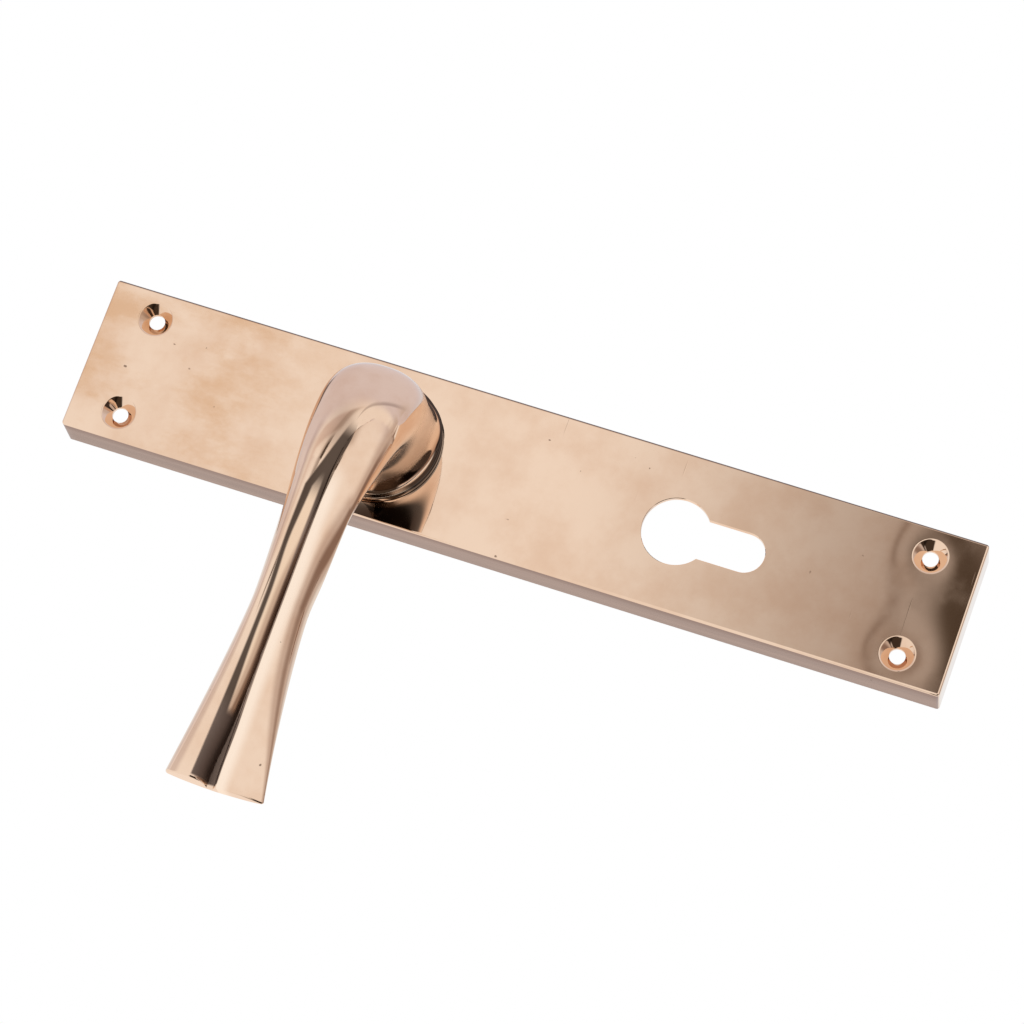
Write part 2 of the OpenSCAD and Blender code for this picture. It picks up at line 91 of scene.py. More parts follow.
# %% Camera
CAMERA_AT = Vector((-0.3628, -1.2139, -0.2755))
CAMERA_AIM = Vector((-0.00833, -0.0125, -0.04132))
CAMERA_ROLL = -72.81
LENS = 167.1

camera = bpy.data.objects.new("camera", bpy.data.cameras.new("camera"))
bpy.context.scene.collection.objects.link(camera)
bpy.context.scene.camera = camera
camera.data.sensor_width = 36
camera.data.lens = LENS
camera.data.clip_start, camera.data.clip_end = 0.05, 50
look = (CAMERA_AIM - CAMERA_AT).to_track_quat("-Z", "Y").to_matrix().to_4x4()
camera.matrix_world = (Matrix.Translation(CAMERA_AT) @ look
                       @ Matrix.Rotation(math.radians(CAMERA_ROLL), 4, "Z"))
print("camera distance:", round((CAMERA_AIM - CAMERA_AT).length, 3), "m")

# %% [markdown]
# ## Building with formulas
# Geometry Nodes can follow a rule, but a long chain of Math nodes is hard to read. Here a
# small class wraps a node socket, so that `a * b + c` in Python builds the three nodes.
# The same words then write every rule below: the lever, the spring and the threads.

# %% Helpers: sums inside a node tree
class Field:
    """A number for each point in a node tree, joined by ordinary sums."""

    def __init__(self, tree, socket):
        self.tree, self.socket = tree, socket

    def math(self, operation, *others, flip=False):
        node = self.tree.nodes.new("ShaderNodeMath")
        node.operation = operation
        values = [self, *others]
        if flip:
            values.reverse()
        for socket, value in zip(node.inputs, values):
            if isinstance(value, Field):
                self.tree.links.new(value.socket, socket)
            else:
                socket.default_value = value
        return Field(self.tree, node.outputs[0])

    def __neg__(self): return self.math("MULTIPLY", -1)


# What a + b, a - b and the rest do, where either side is a Field
for word, node_word in (("add", "ADD"), ("sub", "SUBTRACT"), ("mul", "MULTIPLY"),
                        ("truediv", "DIVIDE"), ("pow", "POWER")):
    setattr(Field, f"__{word}__", lambda a, b, op=node_word: a.math(op, b))
    setattr(Field, f"__r{word}__", lambda a, b, op=node_word: a.math(op, b, flip=True))


def sine(a): return a.math("SINE")
def cosine(a): return a.math("COSINE")
def root(a): return a.math("SQRT")
def size_of(a): return a.math("ABSOLUTE")
def least(a, b): return a.math("MINIMUM", b)
def most(a, b): return a.math("MAXIMUM", b)
def exponential(a): return a.math("EXPONENT")
def whole(a): return a.math("FLOOR")
def clamp(a): return least(most(a, 0), 1)
def mix(a, b, u): return a + (b - a) * u


def ease(a):
    """Rises from 0 to 1 with flat ends, as a goes from 0 to 1."""
    a = clamp(a)
    return a * a * (3 - 2 * a)


def new_tree(name, inputs):
    """A geometry tree with named number inputs, and those inputs as fields."""
    tree = bpy.data.node_groups.new(name, "GeometryNodeTree")
    sockets = {}
    tree.interface.new_socket("Geometry", in_out="INPUT", socket_type="NodeSocketGeometry")
    for label, value in inputs.items():
        socket = tree.interface.new_socket(label, in_out="INPUT", socket_type="NodeSocketFloat")
        socket.default_value = value
        sockets[label] = socket.identifier
    tree.interface.new_socket("Geometry", in_out="OUTPUT", socket_type="NodeSocketGeometry")
    entry = tree.nodes.new("NodeGroupInput")
    fields = {label: Field(tree, entry.outputs[label]) for label in inputs}
    return tree, entry, fields, sockets


def add_node(tree, kind, settings=None, **links):
    """A node of that kind, with its settings and its inputs filled or linked by name."""
    node = tree.nodes.new(kind)
    for key, value in (settings or {}).items():
        setattr(node, key, value)
    for key, value in links.items():
        socket = node.inputs[key.replace("_", " ")]
        if isinstance(value, Field):
            tree.links.new(value.socket, socket)
        elif isinstance(value, bpy.types.NodeSocket):
            tree.links.new(value, socket)
        else:
            socket.default_value = value
    return node


def place_points(tree, geometry, x, y, z):
    """Puts every point at x, y, z in the door's frame, given in millimetres."""
    point = add_node(tree, "ShaderNodeCombineXYZ", X=x * MM, Y=z * -MM, Z=y * MM)
    return add_node(tree, "GeometryNodeSetPosition", Geometry=geometry,
                    Position=point.outputs[0]).outputs[0]


def end_tree(tree, geometry, material):
    """Realizes, sets the material and joins the tree's output."""
    real = add_node(tree, "GeometryNodeRealizeInstances", Geometry=geometry)
    painted = add_node(tree, "GeometryNodeSetMaterial", Geometry=real.outputs[0],
                       Material=material)
    out = tree.nodes.new("NodeGroupOutput")
    tree.links.new(painted.outputs[0], out.inputs[0])


def run_tree(name, tree, sockets, values, base=None):
    """Runs the tree on a mesh and keeps the result as a plain mesh object."""
    holder = bpy.data.objects.new(name + "_tree", base or bpy.data.meshes.new(name + "_tree"))
    bpy.context.scene.collection.objects.link(holder)
    modifier = holder.modifiers.new("rule", "NODES")
    modifier.node_group = tree
    for label, value in values.items():
        modifier[sockets[label]] = float(value)
    graph = bpy.context.evaluated_depsgraph_get()
    mesh = bpy.data.meshes.new_from_object(holder.evaluated_get(graph), depsgraph=graph)
    bpy.data.objects.remove(holder)
    mesh.name = name
    print(name, "from its tree:", len(mesh.vertices), "points")
    return mesh


def grid_around(tree, columns, rows):
    """A flat grid, and its way round (0 to 1) and way along (0 to 1) as fields."""
    grid = add_node(tree, "GeometryNodeMeshGrid", Size_X=1.0, Size_Y=1.0,
                    Vertices_X=columns + 1, Vertices_Y=rows + 1)
    place = add_node(tree, "GeometryNodeInputPosition")
    parts = add_node(tree, "ShaderNodeSeparateXYZ", Vector=place.outputs[0])
    around = Field(tree, parts.outputs[0]) + 0.5
    along = Field(tree, parts.outputs[1]) + 0.5
    return grid.outputs[0], around, along


# %% Helpers: rings and pieces
def bridge(bm, rings):
    """Quads between each closed ring and the next, all of equally many points."""
    for first, second in zip(rings, rings[1:]):
        count = len(first)
        for i in range(count):
            j = (i + 1) % count
            bm.faces.new((first[i], first[j], second[j], second[i]))


def ring_of(bm, points, z):
    """New points all at the height z above the door face."""
    return [bm.verts.new(from_door(x, y, z)) for x, y in points]


def angles_of(count):
    return [2 * math.pi * i / count for i in range(count)]


def circle_points(radius, count, centre=(0, 0)):
    return [(centre[0] + radius * math.cos(a), centre[1] + radius * math.sin(a))
            for a in angles_of(count)]


def finish_piece(name, mesh_or_bm, material, crease=35.0):
    """An object at the origin with its faces outwards, smooth but for its creases."""
    if isinstance(mesh_or_bm, bpy.types.Mesh):
        bm = bmesh.new()
        bm.from_mesh(mesh_or_bm)
    else:
        bm = mesh_or_bm
    bmesh.ops.remove_doubles(bm, verts=bm.verts, dist=SEAM)
    bmesh.ops.recalc_face_normals(bm, faces=bm.faces)
    if bm.calc_volume(signed=True) < 0:
        bmesh.ops.reverse_faces(bm, faces=bm.faces)
    mesh = bpy.data.meshes.new(name)
    bm.to_mesh(mesh)
    open_edges = sum(1 for e in bm.edges if not e.is_manifold)
    bm.free()
    mesh.shade_smooth()
    mesh.set_sharp_from_angle(angle=math.radians(crease))
    mesh.materials.clear()
    mesh.materials.append(material)
    piece = bpy.data.objects.new(name, mesh)
    bpy.context.scene.collection.objects.link(piece)
    print(name + ":", len(mesh.polygons), "faces, open edges:", open_edges)
    return piece


# %% [markdown]
# ## Finishes
# The show pieces are polished to a mirror, so their colour is mostly what they reflect.
# What makes such metal real is small: slow waves left by the polishing wheel, cloudy
# tarnish under the lacquer, fine scratches and a few specks. Each is a noise on Object
# coordinates, so it stays on the piece from every side. The base colour is the metal's own
# mirror tint, and Principled's metallic gives the paler edge at a grazing view.

# %% Helpers: materials
def new_material(name):
    """A material, its tree, its Principled shader and its Object coordinates."""
    material = bpy.data.materials.new(name)
    material.use_nodes = True
    tree = material.node_tree
    tree.nodes.clear()
    shader = tree.nodes.new("ShaderNodeBsdfPrincipled")
    out = tree.nodes.new("ShaderNodeOutputMaterial")
    tree.links.new(shader.outputs[0], out.inputs[0])
    coords = tree.nodes.new("ShaderNodeTexCoord")
    return material, tree, shader, coords.outputs["Object"]


def noise(tree, coords, scale, detail=2.0, rough=0.5, stretch=(1, 1, 1), seed=0.0):
    """Noise about 1/scale metres across, pulled out along an axis by stretch."""
    mapping = add_node(tree, "ShaderNodeMapping", Vector=coords, Scale=stretch,
                       Location=(seed, seed, seed))
    texture = add_node(tree, "ShaderNodeTexNoise", Vector=mapping.outputs[0], Scale=scale,
                       Detail=detail, Roughness=rough)
    return Field(tree, texture.outputs[0])


def band(value, low, high):
    """0 below low, 1 above high, eased between."""
    return ease((value - low) / (high - low))


def tint(tree, factor, first, second, blend="MIX"):
    """Colour from first to second by a factor, or to their product with MULTIPLY."""
    node = add_node(tree, "ShaderNodeMix", {"data_type": "RGBA", "blend_type": blend})
    tree.links.new(factor.socket, node.inputs["Factor"])
    for socket, colour in zip((node.inputs[6], node.inputs[7]), (first, second)):
        if isinstance(colour, tuple):
            socket.default_value = (*colour, 1)
        else:
            tree.links.new(colour, socket)
    return node.outputs[2]


def paint(tree, shader, colour, roughness, metallic, reliefs):
    """Joins a finish to its shader. Each relief is a field and a depth in metres."""
    tree.links.new(colour, shader.inputs["Base Color"])
    tree.links.new(roughness.socket, shader.inputs["Roughness"])
    shader.inputs["Metallic"].default_value = metallic
    normal = None
    for height, depth in reliefs:
        node = add_node(tree, "ShaderNodeBump", Height=height, Distance=depth, Strength=1.0)
        if normal is not None:
            tree.links.new(normal, node.inputs["Normal"])
        normal = node.outputs[0]
    tree.links.new(normal, shader.inputs["Normal"])


def in_millimetres(tree, vector):
    """A vector's X, Y and Z as fields in millimetres."""
    parts = add_node(tree, "ShaderNodeSeparateXYZ", Vector=vector)
    return [Field(tree, socket) * 1000 for socket in parts.outputs]


# %% Finish: mirror-polished bronze tone
BRONZE = (0.86, 0.655, 0.505)
BRONZE_DEEP = (0.78, 0.55, 0.40)
TARNISH = (0.68, 0.40, 0.22)
SPECK = (0.16, 0.09, 0.06)
MIRROR_ROUGH = 0.025
SCRATCH_DEPTH = 0.000004


def polished_bronze(name, wave_depth, extra, tarnish_from=None):
    """The show finish. wave_depth is in metres, extra paints one piece's painted shade and
    reflections, and tarnish_from is the Z where cloudy tarnish starts, going up."""
    material, tree, shader, coords = new_material(name)
    clouds = noise(tree, coords, 60, 4, 0.6)
    colour = tint(tree, band(clouds, 0.35, 0.75), BRONZE, BRONZE_DEEP)
    roughness = MIRROR_ROUGH + band(noise(tree, coords, 90, 3, seed=4), 0.45, 0.8) * 0.04
    if tarnish_from is not None:
        parts = add_node(tree, "ShaderNodeSeparateXYZ", Vector=coords)
        height = Field(tree, parts.outputs[2])
        where = ease((height - tarnish_from) / 0.05)
        patches = band(noise(tree, coords, 45, 5, 0.65, stretch=(1, 1, 0.6), seed=7), 0.46, 0.70)
        stain = patches * where * 0.7
        colour = tint(tree, stain, colour, TARNISH)
        roughness = roughness + stain * 0.12
    # Adds the piece's painted shade, highlight and reflections
    colour, duller = extra(tree, coords, colour)
    specks = band(noise(tree, coords, 420, 1, 0.5, seed=2), 0.795, 0.83)
    colour = tint(tree, specks * 0.7, colour, SPECK)
    waves = noise(tree, coords, 28, 1, 0.4, seed=9)
    scratches = band(noise(tree, coords, 900, 1, 0.5, stretch=(0.05, 1, 1), seed=5), 0.74, 0.8)
    paint(tree, shader, colour, roughness + duller + specks * 0.3, 1.0,
          [(waves, wave_depth), (scratches, -SCRATCH_DEPTH)])
    return material


# %% [markdown]
# The groove between the two lobes gets painted shade: dark along both its walls and over
# the whole floor near the free end, with a painted golden reflection strip between.
# Each edge of a mark is a curve, so it is a sum of the way along the lever alone.

# %% Finish: painted shade and reflections of the groove, the rim and the plate's edges
# Painted shade for the groove: its floor, its wall and its tail near the free end
GROOVE_SHADE, GROOVE_WALL_SHADE, GROOVE_TAIL_SHADE = (0.115, 0.080, 0.060), (0.34, 0.25, 0.20), (0.26, 0.19, 0.155)
# Painted dark shade round the flange's rim and on the neck's side that faces the door
RIM_SHADE, DOOR_SIDE_SHADE = (0.070, 0.050, 0.040), (0.050, 0.036, 0.030)
# Painted brown shade in the crease at the head and round the groove's top
CREASE_SHADE = (0.40, 0.275, 0.205)
# A painted golden reflection for the groove's strip and a painted highlight below the groove
GOLD_REFLECTION, HIGHLIGHT_BRIGHT = (0.86, 0.64, 0.465), (0.99, 0.83, 0.69)
# Painted dark mauve reflection on the plate's side walls
WALL_REFLECTION, WALL_REFLECTION_LIGHT = (0.24, 0.155, 0.137), (0.30, 0.20, 0.175)
# A painted dark reflection line along the plate front's edge
EDGE_REFLECTION_DARK = (0.20, 0.15, 0.125)

# %% Finish: painted shade, highlight and reflection on the groove of the lever
# s runs along the lever from the spindle, z up from its axis, both in millimetres. A pair
# is where a mark starts and where it has its full strength, or where it stops.
ZONE_FROM, ZONE_TO, FRONT_SKIN = (9, 15), (111.6, 112.3), (38, 42)
HEAD_AT, HEAD_SLOPE, HEAD_Z = 13, 0.27, -0.4
HIGH_Z, HIGH_RISE, HIGH_FLARE = 3.55, 0.7, 2.3
LOW_Z, LOW_DIP, LOW_RISE = -1.2, 1.7, 0.5
LINE_WIDTH, LINE_WIDER = 1.15, 0.8
FOOT_Z, FOOT_RISE = 0.4, 0.5
SOFT, CRISP = 0.3, 0.1
RIM_RING, RIM_FACE = (15.9, 16.3), (-15.4, -15.0)
FOLD_REACH, FOLD_SHIFT, FOLD_LEAN = 14.5, 0.55, 0.13


def within(value, start, stop):
    """1 between a start pair and a stop pair, each (from, to) going up."""
    return band(value, *start) * band(-value, -stop[1], -stop[0])


def groove_marks(s, z, ahead):
    """The groove's painted dark shade zone, its wall and tail, its painted golden reflection
    strip, and the painted highlight below it.
    """
    head_edge = (s - HEAD_AT) * HEAD_SLOPE + HEAD_Z
    high_edge = least(head_edge, HIGH_Z + ease((62 - s) / 20) * HIGH_RISE
                      + (most(s - 66, 0) / 44) ** 1.6 * HIGH_FLARE)
    low_edge = ease((s - 95) / 15) * LOW_RISE - ease((27 - s) / 14) * LOW_DIP + LOW_Z
    line = LINE_WIDTH + ease((50 - s) / 22) * LINE_WIDER + ease((s - 68) / 28)
    foot = FOOT_Z + ease((s - 82) / 12) * FOOT_RISE
    gold = ease((s - 25) / 10) * (1 - ease((s - 92) / 3))
    zone = (band(high_edge - z, -SOFT, SOFT) * band(z - low_edge, -CRISP, CRISP)
            * within(s, ZONE_FROM, ZONE_TO) * ahead)
    # Where the groove's painted shade gives way to a painted golden reflection
    strip = band(high_edge - line - z, -SOFT, SOFT) * band(z - foot, -SOFT, SOFT) * gold
    # Painted highlight on the lower lobe just below the groove
    painted_highlight = band(low_edge - z, -0.1, 0.2) * band(z - low_edge, -4.2, -1.2) * band(s, 20, 32) * ahead
    wall = (1 - band(z, 0, 1.2)) * band(s, 30, 45)
    return zone * (1 - strip), wall, band(s, 88, 97), zone * strip, painted_highlight


def crease_shade_marks(s, z, ahead):
    """Painted brown shade where the lower lobe's tongue folds into the head, and round the
    groove's top.
    """
    down = -z
    fold = FOLD_REACH / (most(down, 1.0) - FOLD_SHIFT) - most(down - 6, 0) * FOLD_LEAN
    crease = (band(s - fold, -1.3, -0.1) * band(fold - s, -0.7, 0.0) * band(down, 1.6, 3.0)
              * band(z, -13, -9) * ahead)
    halo = within(s, (3, 11), (15, 22)) * within(z, (-3, 0), (1, 6)) * ahead
    return most(crease * 0.65, halo * 0.6)


def facing_door(tree, x, y):
    """1 where the neck looks back at the plate, which is painted dark as shade."""
    coords = tree.nodes.new("ShaderNodeTexCoord")
    normal = add_node(tree, "ShaderNodeSeparateXYZ", Vector=coords.outputs["Normal"])
    return band(Field(tree, normal.outputs[1]), 0.0, 0.15) * band(-y, 22, 26) * band(x, -45, -35)


def lever_painted_light(tree, coords, colour):
    """The lever's painted shade, highlight and reflections, and how much duller that makes it."""
    x, y, z = in_millimetres(tree, coords)
    ahead = band(-y, *FRONT_SKIN)
    dark, wall, tail, strip, painted_highlight = groove_marks(-x, z, ahead)
    # Painted dark shade band round the flange's rim
    rim = (band(root(x * x + z * z), *RIM_RING) * band(y, *RIM_FACE)
           * band(-z, 4, 9) * band(x, -15, -10))
    flank = band(-y, 17, 21) * band(y, -42, -34) * band(-z, 2, 6)
    # The groove's painted shade: darkest on its floor, lighter on its wall and its tail
    groove_shade_colour = tint(tree, tail, tint(tree, wall, GROOVE_SHADE, GROOVE_WALL_SHADE), GROOVE_TAIL_SHADE)
    # Each mark paints shade, a highlight or a reflection into the metal's colour
    for factor, tone in ((crease_shade_marks(-x, z, ahead), CREASE_SHADE), (painted_highlight * 0.9, HIGHLIGHT_BRIGHT),
                         (strip, GOLD_REFLECTION), (dark, groove_shade_colour),
                         (facing_door(tree, x, y), DOOR_SIDE_SHADE), (rim, RIM_SHADE)):
        colour = tint(tree, factor, colour, tone)
    return colour, dark * (0.25 + tail * 0.3) + flank * 0.22 + 0.03


def plate_painted_light(tree, coords, colour):
    """Painted dark mauve reflections, streaked, on the side walls and a painted dark reflection
    line along the front's edge.
    """
    x, y, _ = in_millimetres(tree, coords)
    # Painted dark mauve reflection on the side walls, with streaks
    walls = band(size_of(x), 21.6, 21.9) * band(y, -11.9, -11.5)
    streaks = band(noise(tree, coords, 160, 3, 0.6, stretch=(1, 1, 0.05), seed=12), 0.3, 0.7)
    colour = tint(tree, walls, colour, tint(tree, streaks, WALL_REFLECTION, WALL_REFLECTION_LIGHT))
    # Painted dark reflection line along the front's edge
    line = band(x, 21.45, 21.65) * band(-y, 11.9, 12.1)
    return tint(tree, line, colour, EDGE_REFLECTION_DARK), walls * 0.15


plate_finish = polished_bronze("polished_bronze_plate", 0.00003, plate_painted_light, tarnish_from=0.0)
lever_finish = polished_bronze("polished_bronze_lever", 0.00001, lever_painted_light)

# %% [markdown]
# Behind the plate the metals are plainer: zinc with its faint yellow and blue bloom, black
# phosphate on the cam, oily spring wire, and natural nylon, which lets a little light in.

# %% Finish: zinc, phosphate, spring wire and nylon
def zinc_plate():
    material, tree, shader, coords = new_material("bright_zinc")
    bloom = noise(tree, coords, 120, 3, 0.6)
    colour = tint(tree, band(bloom, 0.3, 0.7), (0.63, 0.66, 0.71), (0.72, 0.69, 0.60))
    grain = noise(tree, coords, 700, 2, stretch=(1, 1, 0.15), seed=3)
    paint(tree, shader, colour, 0.26 + grain * 0.18, 1.0, [(grain, 0.00002)])
    return material


def black_phosphate():
    material, tree, shader, coords = new_material("black_phosphate")
    crystals = noise(tree, coords, 1500, 3, 0.6)
    wear = band(noise(tree, coords, 200, 4, 0.7, seed=6), 0.6, 0.75)
    colour = tint(tree, wear, (0.030, 0.030, 0.033), (0.12, 0.115, 0.11))
    paint(tree, shader, colour, 0.55 - wear * 0.2, 0.4, [(crystals, 0.00003)])
    return material


def spring_wire():
    material, tree, shader, coords = new_material("spring_wire")
    oil = noise(tree, coords, 300, 3, 0.6)
    colour = tint(tree, band(oil, 0.4, 0.7), (0.17, 0.17, 0.18), (0.30, 0.27, 0.23))
    draw_marks = noise(tree, coords, 2500, 2, seed=1)
    paint(tree, shader, colour, 0.28 + oil * 0.1, 1.0, [(draw_marks, 0.000015)])
    return material


def natural_nylon():
    material, tree, shader, coords = new_material("natural_nylon")
    flow = noise(tree, coords, 150, 3, 0.5)
    colour = tint(tree, band(flow, 0.3, 0.7), (0.80, 0.78, 0.71), (0.74, 0.71, 0.62))
    shader.inputs["Subsurface Weight"].default_value = 0.2
    shader.inputs["Subsurface Scale"].default_value = 0.002
    mould_marks = noise(tree, coords, 1200, 2, seed=8)
    paint(tree, shader, colour, 0.42 + flow * 0.12, 0.0, [(mould_marks, 0.00001)])
    return material


zinc, phosphate = zinc_plate(), black_phosphate()
wire_finish, nylon = spring_wire(), natural_nylon()
for node, finish in (("carrier", zinc), ("wear_washer", zinc), ("cam", phosphate),
                     ("circlip", phosphate), ("bush", nylon)):
    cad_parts[node].data.materials.clear()
    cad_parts[node].data.materials.append(finish)
    print(node, "is finished in", finish.name)

# %% [markdown]
# ## The backplate
# A pressed tray: one sheet, its sides folded back, its screw holes pushed in as dishes.
# A subdivided box would waste points where it is flat and lack them at the dishes, and a
# mirror finish shows each bad normal. So the front is filled by a triangulation that must
# keep the outlines of the holes, and everything round is built from rings round them. The
# press also leaves the sheet very slightly bowed near its holes and its end, and a mirror
# makes that visible, so the front gets those few hundredths of a millimetre.

# %% Backplate: sizes
CELL, BACK_CELL, ROUND, STEP = 2.0, 4.0, 64, 22.5
SHEET, CORNER, EDGE, INNER_EDGE = 1.5, 0.8, 0.5, 0.8
SCREW_X, SCREW_Y = PLATE_W / 2 - 7.8, PLATE_H / 2 - 14
SCREW_R, DISH_R, DISH_LAND, LIP_R = 2.2, 4.7, 1.2, 0.6
DISH_DEPTH = DISH_R - SCREW_R
DIMPLE_R = DISH_R + SHEET * math.tan(math.radians(STEP))
DISH_EASE, DISH_FOOT = 1.2, 1.2
BUSH_HOLE_R = 10.8
CYL_Y, CYL_R, SLOT_R, CYL_H = -85.0, 9.4, 5.65, 34.2
BREAK, HOLD = 0.12, 0.12

# %% Backplate: outlines
def plate_outline(inset):
    """The plate's rounded rectangle, moved inwards, with the same count of points always."""
    w, h = PLATE_W / 2 - inset, PLATE_H / 2 - inset
    r = max(CORNER - inset, 0.1)
    corners = [(w - r, h - r), (-w + r, h - r), (-w + r, -h + r), (w - r, -h + r)]
    runs = [round(PLATE_W / CELL), round(PLATE_H / CELL)] * 2

    def on_corner(k, degrees):
        a = math.radians(90 * k + degrees)
        return corners[k][0] + r * math.cos(a), PLATE_MID + corners[k][1] + r * math.sin(a)

    points = []
    for k, run in enumerate(runs):
        points += [on_corner(k, STEP * i) for i in range(5)]
        first, last = Vector(on_corner(k, 90)), Vector(on_corner((k + 1) % 4, 0))
        points += [tuple(first.lerp(last, i / run)) for i in range(1, run)]
    return points


def cutout_outline(grow=0.0):
    """The lock cylinder's shape: most of a circle, then a slot with a round end."""
    r, s = CYL_R + grow, SLOT_R + grow
    end_y = CYL_R - CYL_H + SLOT_R
    meet = math.asin(s / r)
    sweep = 2 * math.pi - 2 * meet
    points = [(r * math.sin(meet + sweep * i / 72), -r * math.cos(meet + sweep * i / 72))
              for i in range(73)]
    top_y = -r * math.cos(meet)
    points += [(-s, top_y + (end_y - top_y) * i / 8) for i in range(1, 8)]
    points += [(-s * math.cos(math.pi * i / 36), end_y - s * math.sin(math.pi * i / 36))
               for i in range(37)]
    points += [(s, end_y + (top_y - end_y) * i / 8) for i in range(1, 8)]
    return [(x, y + CYL_Y) for x, y in points]


screws = [(x * SCREW_X, PLATE_MID + y * SCREW_Y) for x in (-1, 1) for y in (-1, 1)]
print("screw holes at", [(round(x, 1), round(y, 1)) for x, y in screws])

# %% Backplate: filling a flat face round its holes
def inside(point, loop):
    """True if a point lies inside a closed loop, by counting the edges that it crosses."""
    x, y = point
    hit = False
    for (x0, y0), (x1, y1) in zip(loop, loop[1:] + loop[:1]):
        if (y0 > y) != (y1 > y) and x < x0 + (y - y0) * (x1 - x0) / (y1 - y0):
            hit = not hit
    return hit


def near(point, loop, gap):
    """True if a point lies within the gap from any point of the loop."""
    return any((point[0] - x) ** 2 + (point[1] - y) ** 2 < gap * gap for x, y in loop)


def fill_face(bm, rings, loops, z, cell=CELL):
    """Triangles between the first ring of points and the others, which are holes in it."""
    points = [p for loop in loops for p in loop]
    verts = [v for ring in rings for v in ring]
    edges, start = [], 0
    for loop in loops:
        edges += [(start + i, start + (i + 1) % len(loop)) for i in range(len(loop))]
        start += len(loop)
    columns, rows = int(PLATE_W / cell), int(PLATE_H / cell)
    for i in range(1, columns):
        for j in range(1, rows):
            p = (-PLATE_W / 2 + i * PLATE_W / columns,
                 PLATE_MID - PLATE_H / 2 + j * PLATE_H / rows)
            if any(inside(p, hole) for hole in loops[1:]) or near(p, points, cell * 0.5):
                continue
            points.append(p)
            verts.append(bm.verts.new(from_door(*p, z)))
    flat = delaunay_2d_cdt([Vector(p) for p in points], edges, [], 1, 1e-5)
    for tri in flat[2]:
        middle = [sum(points[flat[3][i][0]][k] for i in tri) / 3 for k in (0, 1)]
        if not any(inside(middle, hole) for hole in loops[1:]):
            bm.faces.new([verts[flat[3][i][0]] for i in tri])


# %% Backplate: the tray
def arc(radius, degrees):
    """Sideways and forward parts of a radius turned by each of the degrees."""
    return [(radius * math.sin(math.radians(a)), radius * math.cos(math.radians(a)))
            for a in degrees]


def pressed_tray():
    """Rings from the front round the edge to the inside, then dishes, holes and faces."""
    bm = bmesh.new()
    inner_z = PLATE_DEPTH - SHEET
    lip_x = DISH_R + LIP_R * math.tan(math.radians(STEP))
    flat_r, dimple_z = lip_x + DISH_EASE, PLATE_DEPTH - DISH_DEPTH - DISH_LAND

    # Over the edge and down to the door, then inside, up to the back of the front
    walls = [(EDGE + HOLD, PLATE_DEPTH), (EDGE, PLATE_DEPTH)]
    walls += [(EDGE - side, PLATE_DEPTH - EDGE + up)
              for side, up in arc(EDGE, (22.5, 45, 67.5, 90))]
    walls += [(0, 8), (0, 4), (0, BREAK), (BREAK, 0), (SHEET - BREAK, 0), (SHEET, BREAK),
              (SHEET, 6), (SHEET, inner_z - INNER_EDGE)]
    walls += [(SHEET + INNER_EDGE - up, inner_z - INNER_EDGE + side)
              for side, up in arc(INNER_EDGE, (30, 60, 90))]
    outline = [ring_of(bm, plate_outline(inset), z) for inset, z in walls]
    bridge(bm, outline)
    front_rings, front_loops = [outline[0]], [plate_outline(walls[0][0])]
    back_rings, back_loops = [outline[-1]], [plate_outline(walls[-1][0])]

    # Screw dishes, with the sheet pushed back behind them
    dish_z = PLATE_DEPTH - DISH_DEPTH
    profile = [(flat_r, PLATE_DEPTH), (lip_x + HOLD, PLATE_DEPTH)]
    profile += [(lip_x - side, PLATE_DEPTH - LIP_R + up)
                for side, up in arc(LIP_R, range(0, 46, 9))]
    profile += [(SCREW_R + DISH_FOOT, dish_z + DISH_FOOT), (SCREW_R, dish_z),
                (SCREW_R, dimple_z + BREAK), (SCREW_R + BREAK, dimple_z),
                (DIMPLE_R - (inner_z - dimple_z), dimple_z), (DIMPLE_R, inner_z)]
    for centre in screws:
        rings = [ring_of(bm, circle_points(r, ROUND, centre), z) for r, z in profile]
        bridge(bm, rings)
        front_rings.append(rings[0])
        front_loops.append(circle_points(flat_r, ROUND, centre))
        back_rings.append(rings[-1])
        back_loops.append(circle_points(DIMPLE_R, ROUND, centre))

    # The cut-out for the lock cylinder and the hole for the bush
    for shape in (cutout_outline, lambda grow: circle_points(BUSH_HOLE_R + grow, ROUND)):
        rings = [ring_of(bm, shape(grow), z)
                 for grow, z in ((BREAK, PLATE_DEPTH), (0, PLATE_DEPTH - BREAK),
                                 (0, inner_z + BREAK), (BREAK, inner_z))]
        bridge(bm, rings)
        front_rings.append(rings[0])
        back_rings.append(rings[-1])
        front_loops.append(shape(BREAK))
        back_loops.append(shape(BREAK))
    fill_face(bm, front_rings, front_loops, PLATE_DEPTH)
    fill_face(bm, back_rings, back_loops, inner_z, BACK_CELL)
    return bm


# %% Backplate: the slight bow of the pressed front
BOW_DEPTH = 0.12
BOW_REACH = 26.0
DISH_PULL = 0.035
DISH_SPREAD = 7.5


def pressed_in(x, y):
    """How far the front lies behind its flat plane at x, y, in millimetres."""
    end = max(0.0, (PLATE_MID - PLATE_H / 2 + BOW_REACH - y) / BOW_REACH)
    pull = sum(math.exp(-((x - cx) ** 2 + (y - cy) ** 2) / DISH_SPREAD ** 2) for cx, cy in screws)
    side = max(0.0, (x + PLATE_W / 2) / PLATE_W)
    return BOW_DEPTH * end ** 2 * side ** 1.5 + DISH_PULL * pull


tray = pressed_tray()
for v in tray.verts:
    if -v.co.y / MM > PLATE_DEPTH - DISH_DEPTH - 0.1:
        v.co.y += pressed_in(v.co.x / MM, v.co.z / MM) * MM
backplate = finish_piece("pressed_backplate", tray, plate_finish)
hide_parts("backplate")
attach(backplate, "plate")

